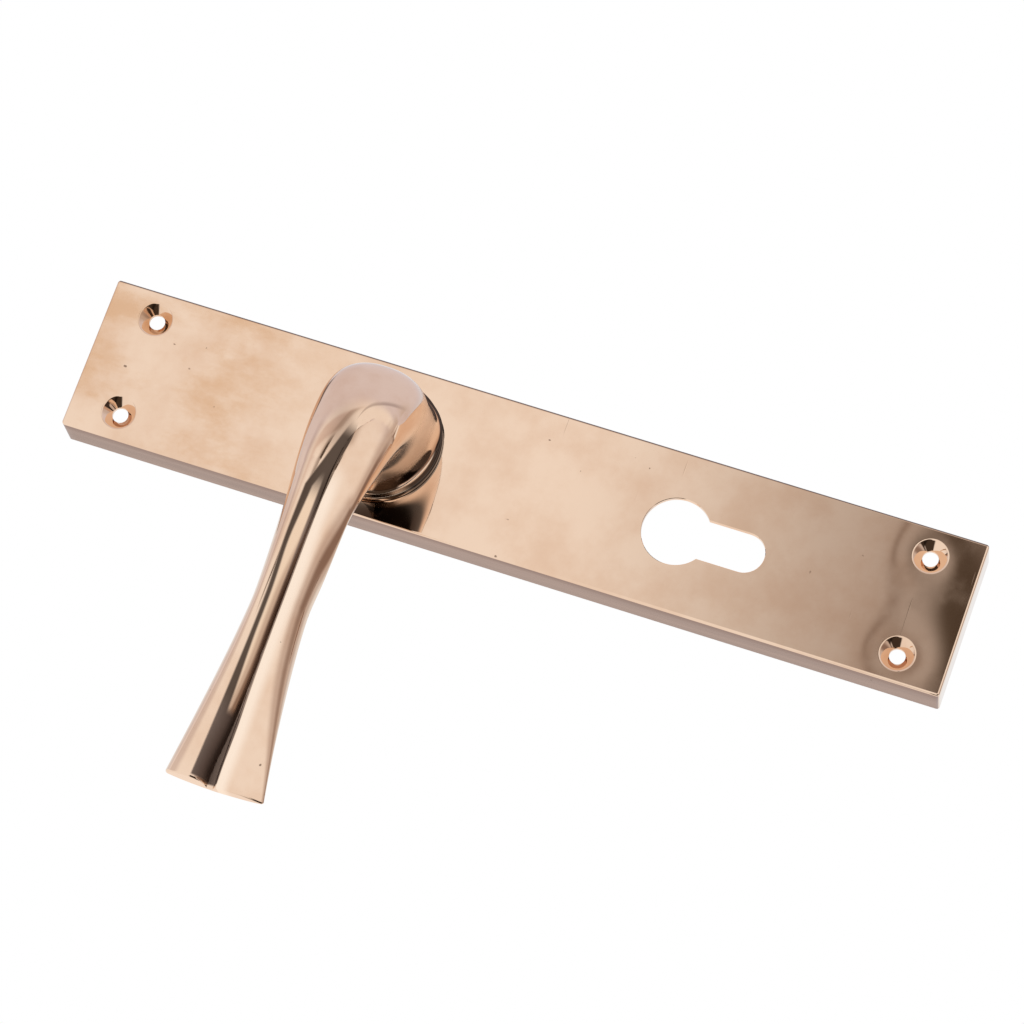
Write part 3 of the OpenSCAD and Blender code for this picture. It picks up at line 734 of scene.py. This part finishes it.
# %% [markdown]
# ## The lever
# The lever is a casting: a round flange, a neck that turns over into a domed head, and a
# grip whose two lobes flare out like a trumpet. It could be sculpted, but its shape follows
# a rule: sections set along its middle, each with an outer end, an inner end and a width.
# So a Geometry Nodes tree lays a grid over that rule. The way along runs through five
# stretches: flare, bend, waist, end and the rounding of the end. Each stretch's own share
# is clamped to 0 to 1, and since each starts where the last stops, a size along the whole
# lever is the first stretch's value plus what each later one adds.

# %% Lever: the rule
FLANGE_Z, FLANGE_T = PLATE_DEPTH + 0.3, 1.8
LEVER_SIZES = {
    "Length": 112.8, "Finger gap": 33.5, "Grip thickness": 10.3, "Waist width": 14.8,
    "Waist at": 62.0, "End width": 27.0, "End thickness": 8.7, "End drop": 2.9,
    "End rounding": 0.6, "Neck width": 26.8, "Neck front": 13.2, "Neck back": 14.4,
    "Flare radius": 16.7, "Ridge side": 4.5, "Crest side": 0.9, "Crest drop": 1.6,
    "Roll depth": 6.1, "Floor fall": 3.2, "Parted at": 8.0, "Valley depth": 0.7,
    "Plate depth": PLATE_DEPTH, "Skin foot": FLANGE_Z + FLANGE_T,
}
COLUMNS, FRONT_SHARE, ROWS = 240, 0.65, 300
SHOULDER = 2.5
OUT_BEND_AT, IN_BEND_AT = 22.0, 49.0
BEND_RISE, BEND_WIDTH = 0.8, 17.8
HEAD_LEAN = 1.0
HALF_TURN = math.pi
QUARTER = math.pi / 2


def stretches(along, count):
    """Splits a way along of 0 to 1 into equal stretches, each clamped to 0 to 1."""
    return [clamp(along * count - k) for k in range(count)]


def lever_sections(s, shares):
    """Outer end, inner end, half width and fullness of the section at each point."""
    flare, bend, waist, end, rounding = shares
    grip_in = s["Plate depth"] + s["Finger gap"]
    grip_out = grip_in + s["Grip thickness"]
    end_out = grip_in - s["End drop"] + s["End thickness"]
    top_out, top_in = s["Plate depth"] + 17.5, s["Plate depth"] + 12.0
    c0, s0 = 1 - cosine((1 - flare) * QUARTER), sine((1 - flare) * QUARTER)
    c1, s1 = cosine(bend * QUARTER), sine(bend * QUARTER)
    squash = s["Length"] - s["End rounding"]
    reach = s["End rounding"] * sine(rounding * QUARTER)
    out_x = (-mix(s["Neck front"], s["Flare radius"], c0)
             + (OUT_BEND_AT + s["Neck front"]) * (1 - most(c1, 0) ** (2 / SHOULDER))
             + (s["Waist at"] - OUT_BEND_AT) * waist + (squash - s["Waist at"]) * end + reach)
    out_z = (mix(top_out, s["Skin foot"], s0)
             + (grip_out - BEND_RISE - top_out) * s1 ** (2 / SHOULDER)
             + BEND_RISE * (1 - (1 - waist) ** 2) + (end_out - grip_out) * end ** 2)
    in_x = (mix(s["Neck back"], s["Flare radius"], c0)
            + (IN_BEND_AT - s["Neck back"]) * (1 - c1)
            + (s["Waist at"] - IN_BEND_AT) * waist + (squash - s["Waist at"]) * end + reach)
    in_z = (mix(top_in, s["Skin foot"], s0) + (grip_in - top_in) * s1
            - s["End drop"] * end ** 2)
    width = (mix(s["Neck width"], s["Flare radius"] * 2, c0)
             + (BEND_WIDTH - s["Neck width"]) * bend ** 2.2
             + (s["Waist width"] - BEND_WIDTH) * (1 - (1 - waist) ** 1.5)
             + (s["End width"] - s["Waist width"]) * end ** 1.4) / 2
    shrink = s["End rounding"] * (1 - cosine(rounding * QUARTER))
    full_front = 2 + 0.4 * ease(flare) - 0.4 * bend - 0.3 * end
    full_back = 2 - 0.2 * bend - 0.1 * waist - 0.2 * end
    lean = HEAD_LEAN * (1 - c0) * (1 - bend * bend)
    return (out_x, out_z), (in_x, in_z), width - shrink, shrink, full_front, full_back, lean


CREST_SHARE = 0.41
CREST_SWING, CREST_RUN = 10.3, 5.9
FLARE_FROM, FLARE_RUN = 75.0, 40.0
RIDGE_RUN, DOME_RUN, LOW_EDGE_FROM = 24.0, 8.0, 8.0
FLANK_ROOM, ROLL_END, ROLL_FALL = 1.07, 0.97, 6.0
CREST_WALL, CREST_SINK, CREST_SHIFT, RIDGE_SHIFT = 3.0, 1.4, 0.4, 2.2
END_REACH = 4.2
FLOOR_HIDDEN, FLOOR_DEPTH, FLOOR_RAMP_AT, FLOOR_RAMP_RUN = 6.5, 3.2, 86.0, 27.0
HIGH_EDGE, MID_EDGE, LOW_EDGE, END_EDGE = 0.62, 0.5, 0.2, 0.4
VALLEY_SIDE, VALLEY_WIDTH = -2.0, 4.2


def near_end_of(way):
    return ease((way - FLARE_FROM) / FLARE_RUN)


def crest_line(s, way):
    """How far to the side the lower lobe's crest lies, along the lever."""
    swing = CREST_SWING * exponential(way / -CREST_RUN) - CREST_SHIFT * near_end_of(way)
    return least(s["Crest side"] + swing, s["Neck width"] / 2)


def roll(u):
    """A quarter of an ellipse: 1 at u = 0, falling to 0 at u = 1."""
    return root(most(1 - u * u, 0))


def ramp_of(way):
    """How far along the falling part of the groove's floor, 0 to 1."""
    return clamp((way - FLOOR_RAMP_AT) / FLOOR_RAMP_RUN)


def lobe_height(s, x, way, half, thick, edges):
    """Height of the front above the back: the higher of two rolls side by side."""
    parted = ease((way + DOME_RUN / 2) / (s["Parted at"] + DOME_RUN / 2))
    near_end = near_end_of(way)
    crest = crest_line(s, way)
    ridge = (s["Ridge side"] + RIDGE_SHIFT * near_end) * ease(way / RIDGE_RUN) * -1
    away = x - ridge
    reach = mix(half, mix((crest - ridge) * FLANK_ROOM, END_REACH, near_end), parted)
    deep = mix(thick - edges[1], s["Roll depth"], parted)
    outer = mix(edges[0], thick, roll(away / (half + ridge)))
    inner = (thick - deep * (1 - roll(away / reach))
             - ROLL_FALL * most(away - reach * ROLL_END, 0))
    upper = mix(outer, inner, clamp(away * 1e6))
    top = thick - (s["Crest drop"] + CREST_SINK * near_end) * parted
    lower = mix(edges[1], top, roll(most(x, 0) / half)) - CREST_WALL * most(crest - x, 0)
    floor = (thick - mix(FLOOR_HIDDEN, FLOOR_DEPTH, ease((way - RIDGE_RUN) / FLARE_RUN))
             - s["Floor fall"] * ramp_of(way) - most(x - crest, 0) * CREST_WALL
             - most(ridge - x, 0) * ROLL_FALL)
    return most(most(upper, lower), floor)


def lever_tree(material):
    tree, _, s, sockets = new_tree("lever by sections", LEVER_SIZES)
    grid, around, along = grid_around(tree, COLUMNS, ROWS)
    out, inn, half, shrink, full_front, full_back, lean = lever_sections(s, stretches(along, 5))
    span = root((inn[0] - out[0]) ** 2 + (inn[1] - out[1]) ** 2)
    up = ((out[0] - inn[0]) / span, (out[1] - inn[1]) / span)
    way = out[0]
    front_turn = clamp(around / FRONT_SHARE)
    back_turn = clamp((around - FRONT_SHARE) / (1 - FRONT_SHARE))
    is_back = clamp(back_turn * 1e6)
    plain_e = sine(QUARTER - (front_turn + back_turn) * HALF_TURN)
    crest = least(crest_line(s, way) / half, 0.9)
    beyond = clamp((front_turn - CREST_SHARE) / (1 - CREST_SHARE))
    crest_e = (crest + (1 - crest) * cosine(clamp(front_turn / CREST_SHARE) * QUARTER)
               - (1 + crest) * (beyond + (1 - cosine(beyond * HALF_TURN)) / 2) / 2)
    e = mix(plain_e, crest_e, ease((way + DOME_RUN) / (2 * DOME_RUN)) * (1 - is_back))
    x = half * e
    thick = span - shrink * 2
    edges = (thick * mix(HIGH_EDGE, MID_EDGE, ease(way / s["Waist at"])),
             thick * mix(mix(HIGH_EDGE, LOW_EDGE, ease((way - LOW_EDGE_FROM) / FLARE_RUN)),
                         END_EDGE, near_end_of(way)))
    edge = mix(*edges, ease((e + 1) / 2))
    plain_front = edge + (thick - edge) * most(1 - size_of(e) ** full_front, 0) ** (1 / full_front)
    front = lobe_height(s, x, way, half, thick, edges)
    front = mix(plain_front, front, ease(1 + way / DOME_RUN))
    back = edge * (1 - most(1 - size_of(e) ** full_back, 0) ** (1 / full_back))
    d = (x - VALLEY_SIDE) / VALLEY_WIDTH
    valley = (s["Valley depth"] * ease(way / s["Waist at"] - 0.5) * (1 - ramp_of(way))
              * exponential(d * d * -1))
    height = mix(front, back + valley, is_back) + shrink
    point = [i + u * height for i, u in zip(inn, up)]
    skin = place_points(tree, grid, -point[0], -(x + lean), point[1])
    end_tree(tree, skin, material)
    return tree, sockets


lever_rule, lever_sockets = lever_tree(lever_finish)
lever_skin = run_tree("lever_skin", lever_rule, lever_sockets, LEVER_SIZES)

# %% [markdown]
# The flange, the hub and its square socket are turned and broached shapes, so they are rings
# about the spindle axis. Their points stand at the same angles as the skin's first ring, and
# merging the two makes the whole casting one closed mesh.

# %% Lever: flange, hub and socket
HUB_R, FLATS, SOCKET_W, SOCKET_DEPTH = 8.95, 7.0, 8.1, 25.0
DOOR_GAP, CLIP_LOW, CLIP_HIGH, CAM_TOP = 0.3, 0.9, 1.95, 3.5
GROOVE_R, RECESS_R = 8.2, 15.3
FLANGE_R, RIM, RECESS_DEPTH, CHAMFER = 17.6, 0.5, 0.6, 0.3


def column_angles():
    """The angle of each of the skin's columns about the spindle axis."""
    fronts = round(COLUMNS * FRONT_SHARE)
    backs = COLUMNS - fronts
    turns = ([QUARTER - HALF_TURN * i / fronts for i in range(fronts)]
             + [-QUARTER - HALF_TURN * i / backs for i in range(backs)])
    return [-turn for turn in turns]


def ring_at(bm, reach, height, angles):
    """A ring whose radius and height are given for each angle."""
    return [bm.verts.new(from_door(reach(a) * math.cos(a), reach(a) * math.sin(a), height(a)))
            for a in angles]


def even(r):
    """The same radius, or height, at every angle."""
    return lambda a: r


def flat_hub(r, grow=0.0):
    return lambda a: min(r, (FLATS + grow) / max(abs(math.sin(a)), 1e-6))


def square_hole(grow=0.0):
    return lambda a: (SOCKET_W / 2 + grow) / max(abs(math.sin(a)), abs(math.cos(a)))


def lever_casting():
    """The skin from its tree, closed by the flange, the hub and the socket."""
    bm = bmesh.new()
    bm.from_mesh(lever_skin)
    top = FLANGE_Z + FLANGE_T
    floor_z = DOOR_GAP + SOCKET_DEPTH
    profile = [
        (square_hole(), floor_z), (square_hole(), DOOR_GAP + CHAMFER),
        (square_hole(CHAMFER), DOOR_GAP), (flat_hub(HUB_R - CHAMFER), DOOR_GAP),
        (flat_hub(HUB_R), DOOR_GAP + CHAMFER), (flat_hub(HUB_R), CLIP_LOW),
        (flat_hub(GROOVE_R), CLIP_LOW), (flat_hub(GROOVE_R), CLIP_HIGH),
        (flat_hub(HUB_R), CLIP_HIGH), (flat_hub(HUB_R), CAM_TOP), (even(HUB_R), CAM_TOP),
        (even(HUB_R), FLANGE_Z + RECESS_DEPTH), (even(RECESS_R), FLANGE_Z + RECESS_DEPTH),
        (even(RECESS_R), FLANGE_Z), (even(FLANGE_R - CHAMFER / 2), FLANGE_Z),
        (even(FLANGE_R), FLANGE_Z + CHAMFER / 2)]
    profile += [(even(FLANGE_R - RIM + RIM * math.cos(math.radians(a))),
                 top - RIM + RIM * math.sin(math.radians(a))) for a in range(0, 91, 15)]
    profile += [(even(LEVER_SIZES["Flare radius"]), top)]
    rings = [ring_at(bm, reach, even(z), column_angles()) for reach, z in profile]
    bridge(bm, rings)
    middle = bm.verts.new(from_door(0, 0, floor_z))
    for i in range(COLUMNS):
        bm.faces.new((rings[0][(i + 1) % COLUMNS], rings[0][i], middle))
    bmesh.ops.remove_doubles(bm, verts=bm.verts, dist=2 * SEAM)
    bmesh.ops.contextual_create(bm, geom=[e for e in bm.edges if e.is_boundary])
    return bm


lever = finish_piece("cast_lever", lever_casting(), lever_finish, 32)
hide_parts("lever")
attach(lever, "handle")

# %% [markdown]
# ## The return spring
# A torsion spring of round wire. Its upper leg is held by the carrier and its lower leg by
# the cam, which turns with the lever. Blender could sweep a curve by hand, but a spring is a
# rule too: leg, bend, curls, bend, leg. A tree moves the points of a line along that rule
# and gives the line a round section.

# %% Return spring: the rule
INNER_Z, CARRIER_T = PLATE_DEPTH - SHEET, 1.2
WIRE_SIZES = {"Wire": 1.3, "Curl radius": 13.0, "Gap": 0.5, "Bend": 0.9,
              "Upper hole": INNER_Z - CARRIER_T, "Lower hole": CAM_TOP - 0.05,
              "Start angle": 118.0}
WIRE_POINTS, WIRE_SIDES = 260, 20


def spring_tree(material):
    tree, _, s, sockets = new_tree("torsion spring", WIRE_SIZES)
    line = add_node(tree, "GeometryNodeMeshLine", Count=WIRE_POINTS + 1)
    index = Field(tree, add_node(tree, "GeometryNodeInputIndex").outputs[0])
    drop = s["Upper hole"] - s["Lower hole"] - s["Wire"] - 2 * s["Bend"]
    round_way = 2 * math.pi * s["Curl radius"] * drop / (s["Wire"] + s["Gap"])
    bend_way = s["Bend"] * QUARTER
    lengths = [s["Wire"], bend_way, round_way, bend_way, s["Wire"]]
    total = 2 * (s["Wire"] + bend_way) + round_way
    done = index / WIRE_POINTS * total
    shares, start = [], None
    for length in lengths:
        here = done if start is None else done - start
        shares.append(clamp(here / length))
        start = length if start is None else start + length
    leg, bend, curls, bend_out, leg_out = shares
    around = (s["Bend"] * (1 - cosine(bend * QUARTER)) + round_way * curls
              + s["Bend"] * sine(bend_out * QUARTER))
    z = (s["Upper hole"] + s["Wire"] / 2 - s["Wire"] * leg - s["Bend"] * sine(bend * QUARTER)
         - drop * curls - s["Bend"] * (1 - cosine(bend_out * QUARTER)) - s["Wire"] * leg_out)
    angle = s["Start angle"] * (math.pi / 180) + around / s["Curl radius"]
    path = place_points(tree, line.outputs[0], s["Curl radius"] * cosine(angle),
                        s["Curl radius"] * sine(angle), z)
    curve = add_node(tree, "GeometryNodeMeshToCurve", Mesh=path)
    section = add_node(tree, "GeometryNodeCurvePrimitiveCircle", Resolution=WIRE_SIDES,
                       Radius=s["Wire"] * (MM / 2))
    tube = add_node(tree, "GeometryNodeCurveToMesh", Curve=curve.outputs[0])
    tree.links.new(section.outputs[0], tube.inputs["Profile Curve"])
    tube.inputs["Fill Caps"].default_value = True
    end_tree(tree, tube.outputs[0], material)
    return tree, sockets


spring_rule, spring_sockets = spring_tree(wire_finish)
spring = finish_piece("torsion_spring_wire",
                      run_tree("spring", spring_rule, spring_sockets, WIRE_SIZES), wire_finish, 50)
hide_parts("return_spring")
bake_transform(spring)

# %% [markdown]
# ## Studs and nuts
# Two threaded studs are welded inside the tray, and a nut on each holds the carrier. A
# thread is a rule as well: the radius rises and falls with the height plus the way round.
# One stud and one nut are made, and the tree sets each on the two places.

# %% Studs and nuts: shape
STUD_R, STUD_PITCH, THREAD_DEPTH, STUD_AT = 2.0, 0.7, 0.38, 24.0
NUT_T, NUT_HALF, STUD_PAST_NUT = 2.2, 3.5, 0.8
NUT_HIGH = INNER_Z - CARRIER_T
NUT_LOW = NUT_HIGH - NUT_T
THREAD_COLUMNS, THREAD_ROWS, LEAD_SHARE = 36, 72, 8
NUT_COLUMNS, BORE_ROOM, BORE_CHAMFER, FACE_SHARE, FACE_ANGLE = 72, 0.05, 0.3, 0.94, 30


def stud_tree(material):
    """A rolled grid whose radius follows the thread, less deep at both ends."""
    inputs = {"Radius": STUD_R, "Pitch": STUD_PITCH, "Thread depth": THREAD_DEPTH,
              "Low": NUT_LOW - STUD_PAST_NUT, "High": INNER_Z}
    tree, _, s, sockets = new_tree("threaded stud", inputs)
    grid, around, along = grid_around(tree, THREAD_COLUMNS, THREAD_ROWS)
    z = mix(s["Low"], s["High"], along)
    turns = z / s["Pitch"] + around
    tooth = size_of((turns - whole(turns)) * 2 - 1)
    lead = least(ease(along * LEAD_SHARE), ease((1 - along) * LEAD_SHARE))
    radius = s["Radius"] - s["Thread depth"] * mix(1, tooth, lead)
    angle = around * (2 * math.pi)
    rod = place_points(tree, grid, radius * cosine(angle), radius * sine(angle), z)
    end_tree(tree, rod, material)
    return tree, sockets, inputs


def pair_tree(material):
    """Sets the incoming mesh on two places, above and below the spindle axis."""
    tree, entry, s, sockets = new_tree("pair beside the axis", {"Distance": STUD_AT})
    line = add_node(tree, "GeometryNodeMeshLine", Count=2)
    index = Field(tree, add_node(tree, "GeometryNodeInputIndex").outputs[0])
    places = place_points(tree, line.outputs[0], index * 0, (index * 2 - 1) * s["Distance"],
                          index * 0)
    pair = add_node(tree, "GeometryNodeInstanceOnPoints", Points=places)
    tree.links.new(entry.outputs["Geometry"], pair.inputs["Instance"])
    end_tree(tree, pair.outputs[0], material)
    return tree, sockets


def closed(mesh):
    """Merges the seam of a rolled grid and closes its two ends."""
    bm = bmesh.new()
    bm.from_mesh(mesh)
    bmesh.ops.remove_doubles(bm, verts=bm.verts, dist=SEAM)
    bmesh.ops.holes_fill(bm, edges=[e for e in bm.edges if e.is_boundary], sides=0)
    bm.to_mesh(mesh)
    bm.free()
    return mesh


def nut_mesh():
    """One hexagon nut, chamfered at both ends, with a plain bore."""
    bm = bmesh.new()
    bore, face = even(STUD_R + BORE_ROOM), even(NUT_HALF * FACE_SHARE)
    mouth = even(bore(0) + BORE_CHAMFER)
    low, high = even(NUT_LOW), even(NUT_HIGH)

    def hexagon(a):
        return NUT_HALF / math.cos((a + math.pi / 6) % (math.pi / 3) - math.pi / 6)

    def fall(a):
        return (hexagon(a) - face(a)) * math.tan(math.radians(FACE_ANGLE))

    profile = [(bore, even(NUT_LOW + BORE_CHAMFER)), (mouth, low), (face, low),
               (hexagon, lambda a: NUT_LOW + fall(a)), (hexagon, lambda a: NUT_HIGH - fall(a)),
               (face, high), (mouth, high), (bore, even(NUT_HIGH - BORE_CHAMFER))]
    rings = [ring_at(bm, reach, height, angles_of(NUT_COLUMNS)) for reach, height in profile]
    bridge(bm, rings + rings[:1])
    mesh = bpy.data.meshes.new("nut")
    bm.to_mesh(mesh)
    bm.free()
    return mesh


# %% Studs and nuts: the two places
pair_rule, pair_sockets = pair_tree(zinc)
stud_rule, stud_sockets, stud_sizes = stud_tree(zinc)
one_stud = closed(run_tree("one_stud", stud_rule, stud_sockets, stud_sizes))
for name, one, node in (("threaded_studs", one_stud, "weld_studs"),
                        ("hexagon_nuts", nut_mesh(), "stud_nuts")):
    pair = finish_piece(name, run_tree(name, pair_rule, pair_sockets, {"Distance": STUD_AT}, one),
                        zinc, 30)
    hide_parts(node)
    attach(pair, "plate")

# %% [markdown]
# ## Light and background
# Polished metal shows the studio more than itself. The world is white to the camera and
# for plain light. For mirror rays alone, soft-edged cards stand in front of it, as a
# photographer sets them. Each card multiplies what lies behind it by its tint, so it takes
# light away and never adds any: the ceiling's lilac, the table's brown, the dark stand.

# %% World
DIFFUSE_LEVEL = 0.8
WHITE_TENT = (1.0, 0.985, 0.97)
# A card is its name, how far it is turned from the handle's front (0) to its lever's far
# side (90), how high it stands, half its width and height, the softness of both, all in
# degrees, and what it leaves of red, green and blue
CARDS = [
    ("side of the room", 98, 15, 52, 65, 14, 14, (0.78, 0.76, 0.84)),
    ("cool far side", 160, 15, 20, 75, 8, 10, (0.90, 0.95, 1.0)),
    ("ceiling", 0, 80, 60, 28, 12, 12, (0.76, 0.72, 0.73)),
    ("wall beside", 31, 22, 9, 24, 3, 10, (0.80, 0.72, 0.70)),
    ("foot of the wall", 31, 4, 8, 7, 3, 4, (0.75, 0.73, 0.70)),
    ("table", 0, -90, 180, 42, 10, 12, (0.66, 0.60, 0.58)),
    ("table below", 0, -90, 180, 20, 10, 8, (0.44, 0.36, 0.32)),
    ("far corner", 142, 47, 7, 9, 3, 4, (0.25, 0.20, 0.17)),
    ("table edge", 16.5, 3.4, 1.7, 1.8, 0.5, 0.25, (0.20, 0.165, 0.13)),
    ("line above it", 16.5, 5.75, 1.7, 0.08, 0.5, 0.1, (0.55, 0.48, 0.44)),
    ("camera stand", -40, -33, 24, 26, 2, 3, (0.06, 0.045, 0.035)),
    ("beside the stand", -88, -22, 28, 26, 4, 4, (0.06, 0.045, 0.035)),
    ("warm wall behind", -163, 10, 14, 12, 6, 6, (1.0, 0.92, 0.84)),
]
# The floor's edge as the plate sees it: darker from the first height down to the second
FADE_FROM, FADE_TO, FADE_DARK = 10.5, 4.5, (0.40, 0.36, 0.34)
FADE_AT, FADE_HALF, FADE_SOFT = 17, 4, 2

world = bpy.data.worlds.new("studio")
bpy.context.scene.world = world
world.use_nodes = True
tree = world.node_tree
tree.nodes.clear()
path = tree.nodes.new("ShaderNodeLightPath")
direction = add_node(tree, "ShaderNodeSeparateXYZ",
                     Vector=tree.nodes.new("ShaderNodeTexCoord").outputs["Generated"])
to_x, to_y, to_z = (Field(tree, socket) for socket in direction.outputs)
DEGREES = 180 / math.pi
turned = to_x.math("ARCTAN2", -to_y) * DEGREES
height = to_z.math("ARCSINE") * DEGREES


def window(value, middle, half, soft):
    """1 within half of the middle, eased to 0 over the softness."""
    return ease((half + soft - size_of(value - middle)) / (2 * soft))


def turned_from(middle):
    """Turn away from a direction, the short way round."""
    away = size_of(turned - middle)
    return least(away, 360 - away)


fade = (ease((FADE_FROM - height) / (FADE_FROM - FADE_TO)) * ease((height - 1.0) / 1.0)
        * window(turned_from(FADE_AT), 0, FADE_HALF, FADE_SOFT))
in_mirror = Field(tree, path.outputs["Is Glossy Ray"])
plain = most(Field(tree, path.outputs["Is Camera Ray"]), most(
    in_mirror, Field(tree, path.outputs["Is Transmission Ray"])))
colour = tint(tree, in_mirror, (1, 1, 1), WHITE_TENT)
colour = tint(tree, fade * in_mirror, colour, FADE_DARK, "MULTIPLY")
for label, middle, up, half_turn, half_up, soft_turn, soft_up, shade in CARDS:
    card = window(height, up, half_up, soft_up)
    if half_turn < 180:
        card = card * window(turned_from(middle), 0, half_turn, soft_turn)
    colour = tint(tree, card * in_mirror, colour, shade, "MULTIPLY")
background = add_node(tree, "ShaderNodeBackground", Strength=mix(DIFFUSE_LEVEL, 1, plain))
tree.links.new(colour, background.inputs["Color"])
out = tree.nodes.new("ShaderNodeOutputWorld")
tree.links.new(background.outputs[0], out.inputs[0])
bpy.context.scene.view_settings.view_transform = "Standard"
print("the studio has", len(CARDS), "tinted cards")

# %% Floor
FLOOR_Z, FLOOR_SIZE, FLOOR_GREY = -0.9, 12, (0.92, 0.92, 0.92, 1)
bpy.ops.mesh.primitive_plane_add(size=FLOOR_SIZE, location=(0, 0, FLOOR_Z))
floor = bpy.context.object
floor.name = "floor"
floor_paint, _, shader, _ = new_material("floor_paint")
shader.inputs["Base Color"].default_value = FLOOR_GREY
shader.inputs["Roughness"].default_value = 0.9
floor.data.materials.append(floor_paint)
floor.visible_glossy = False
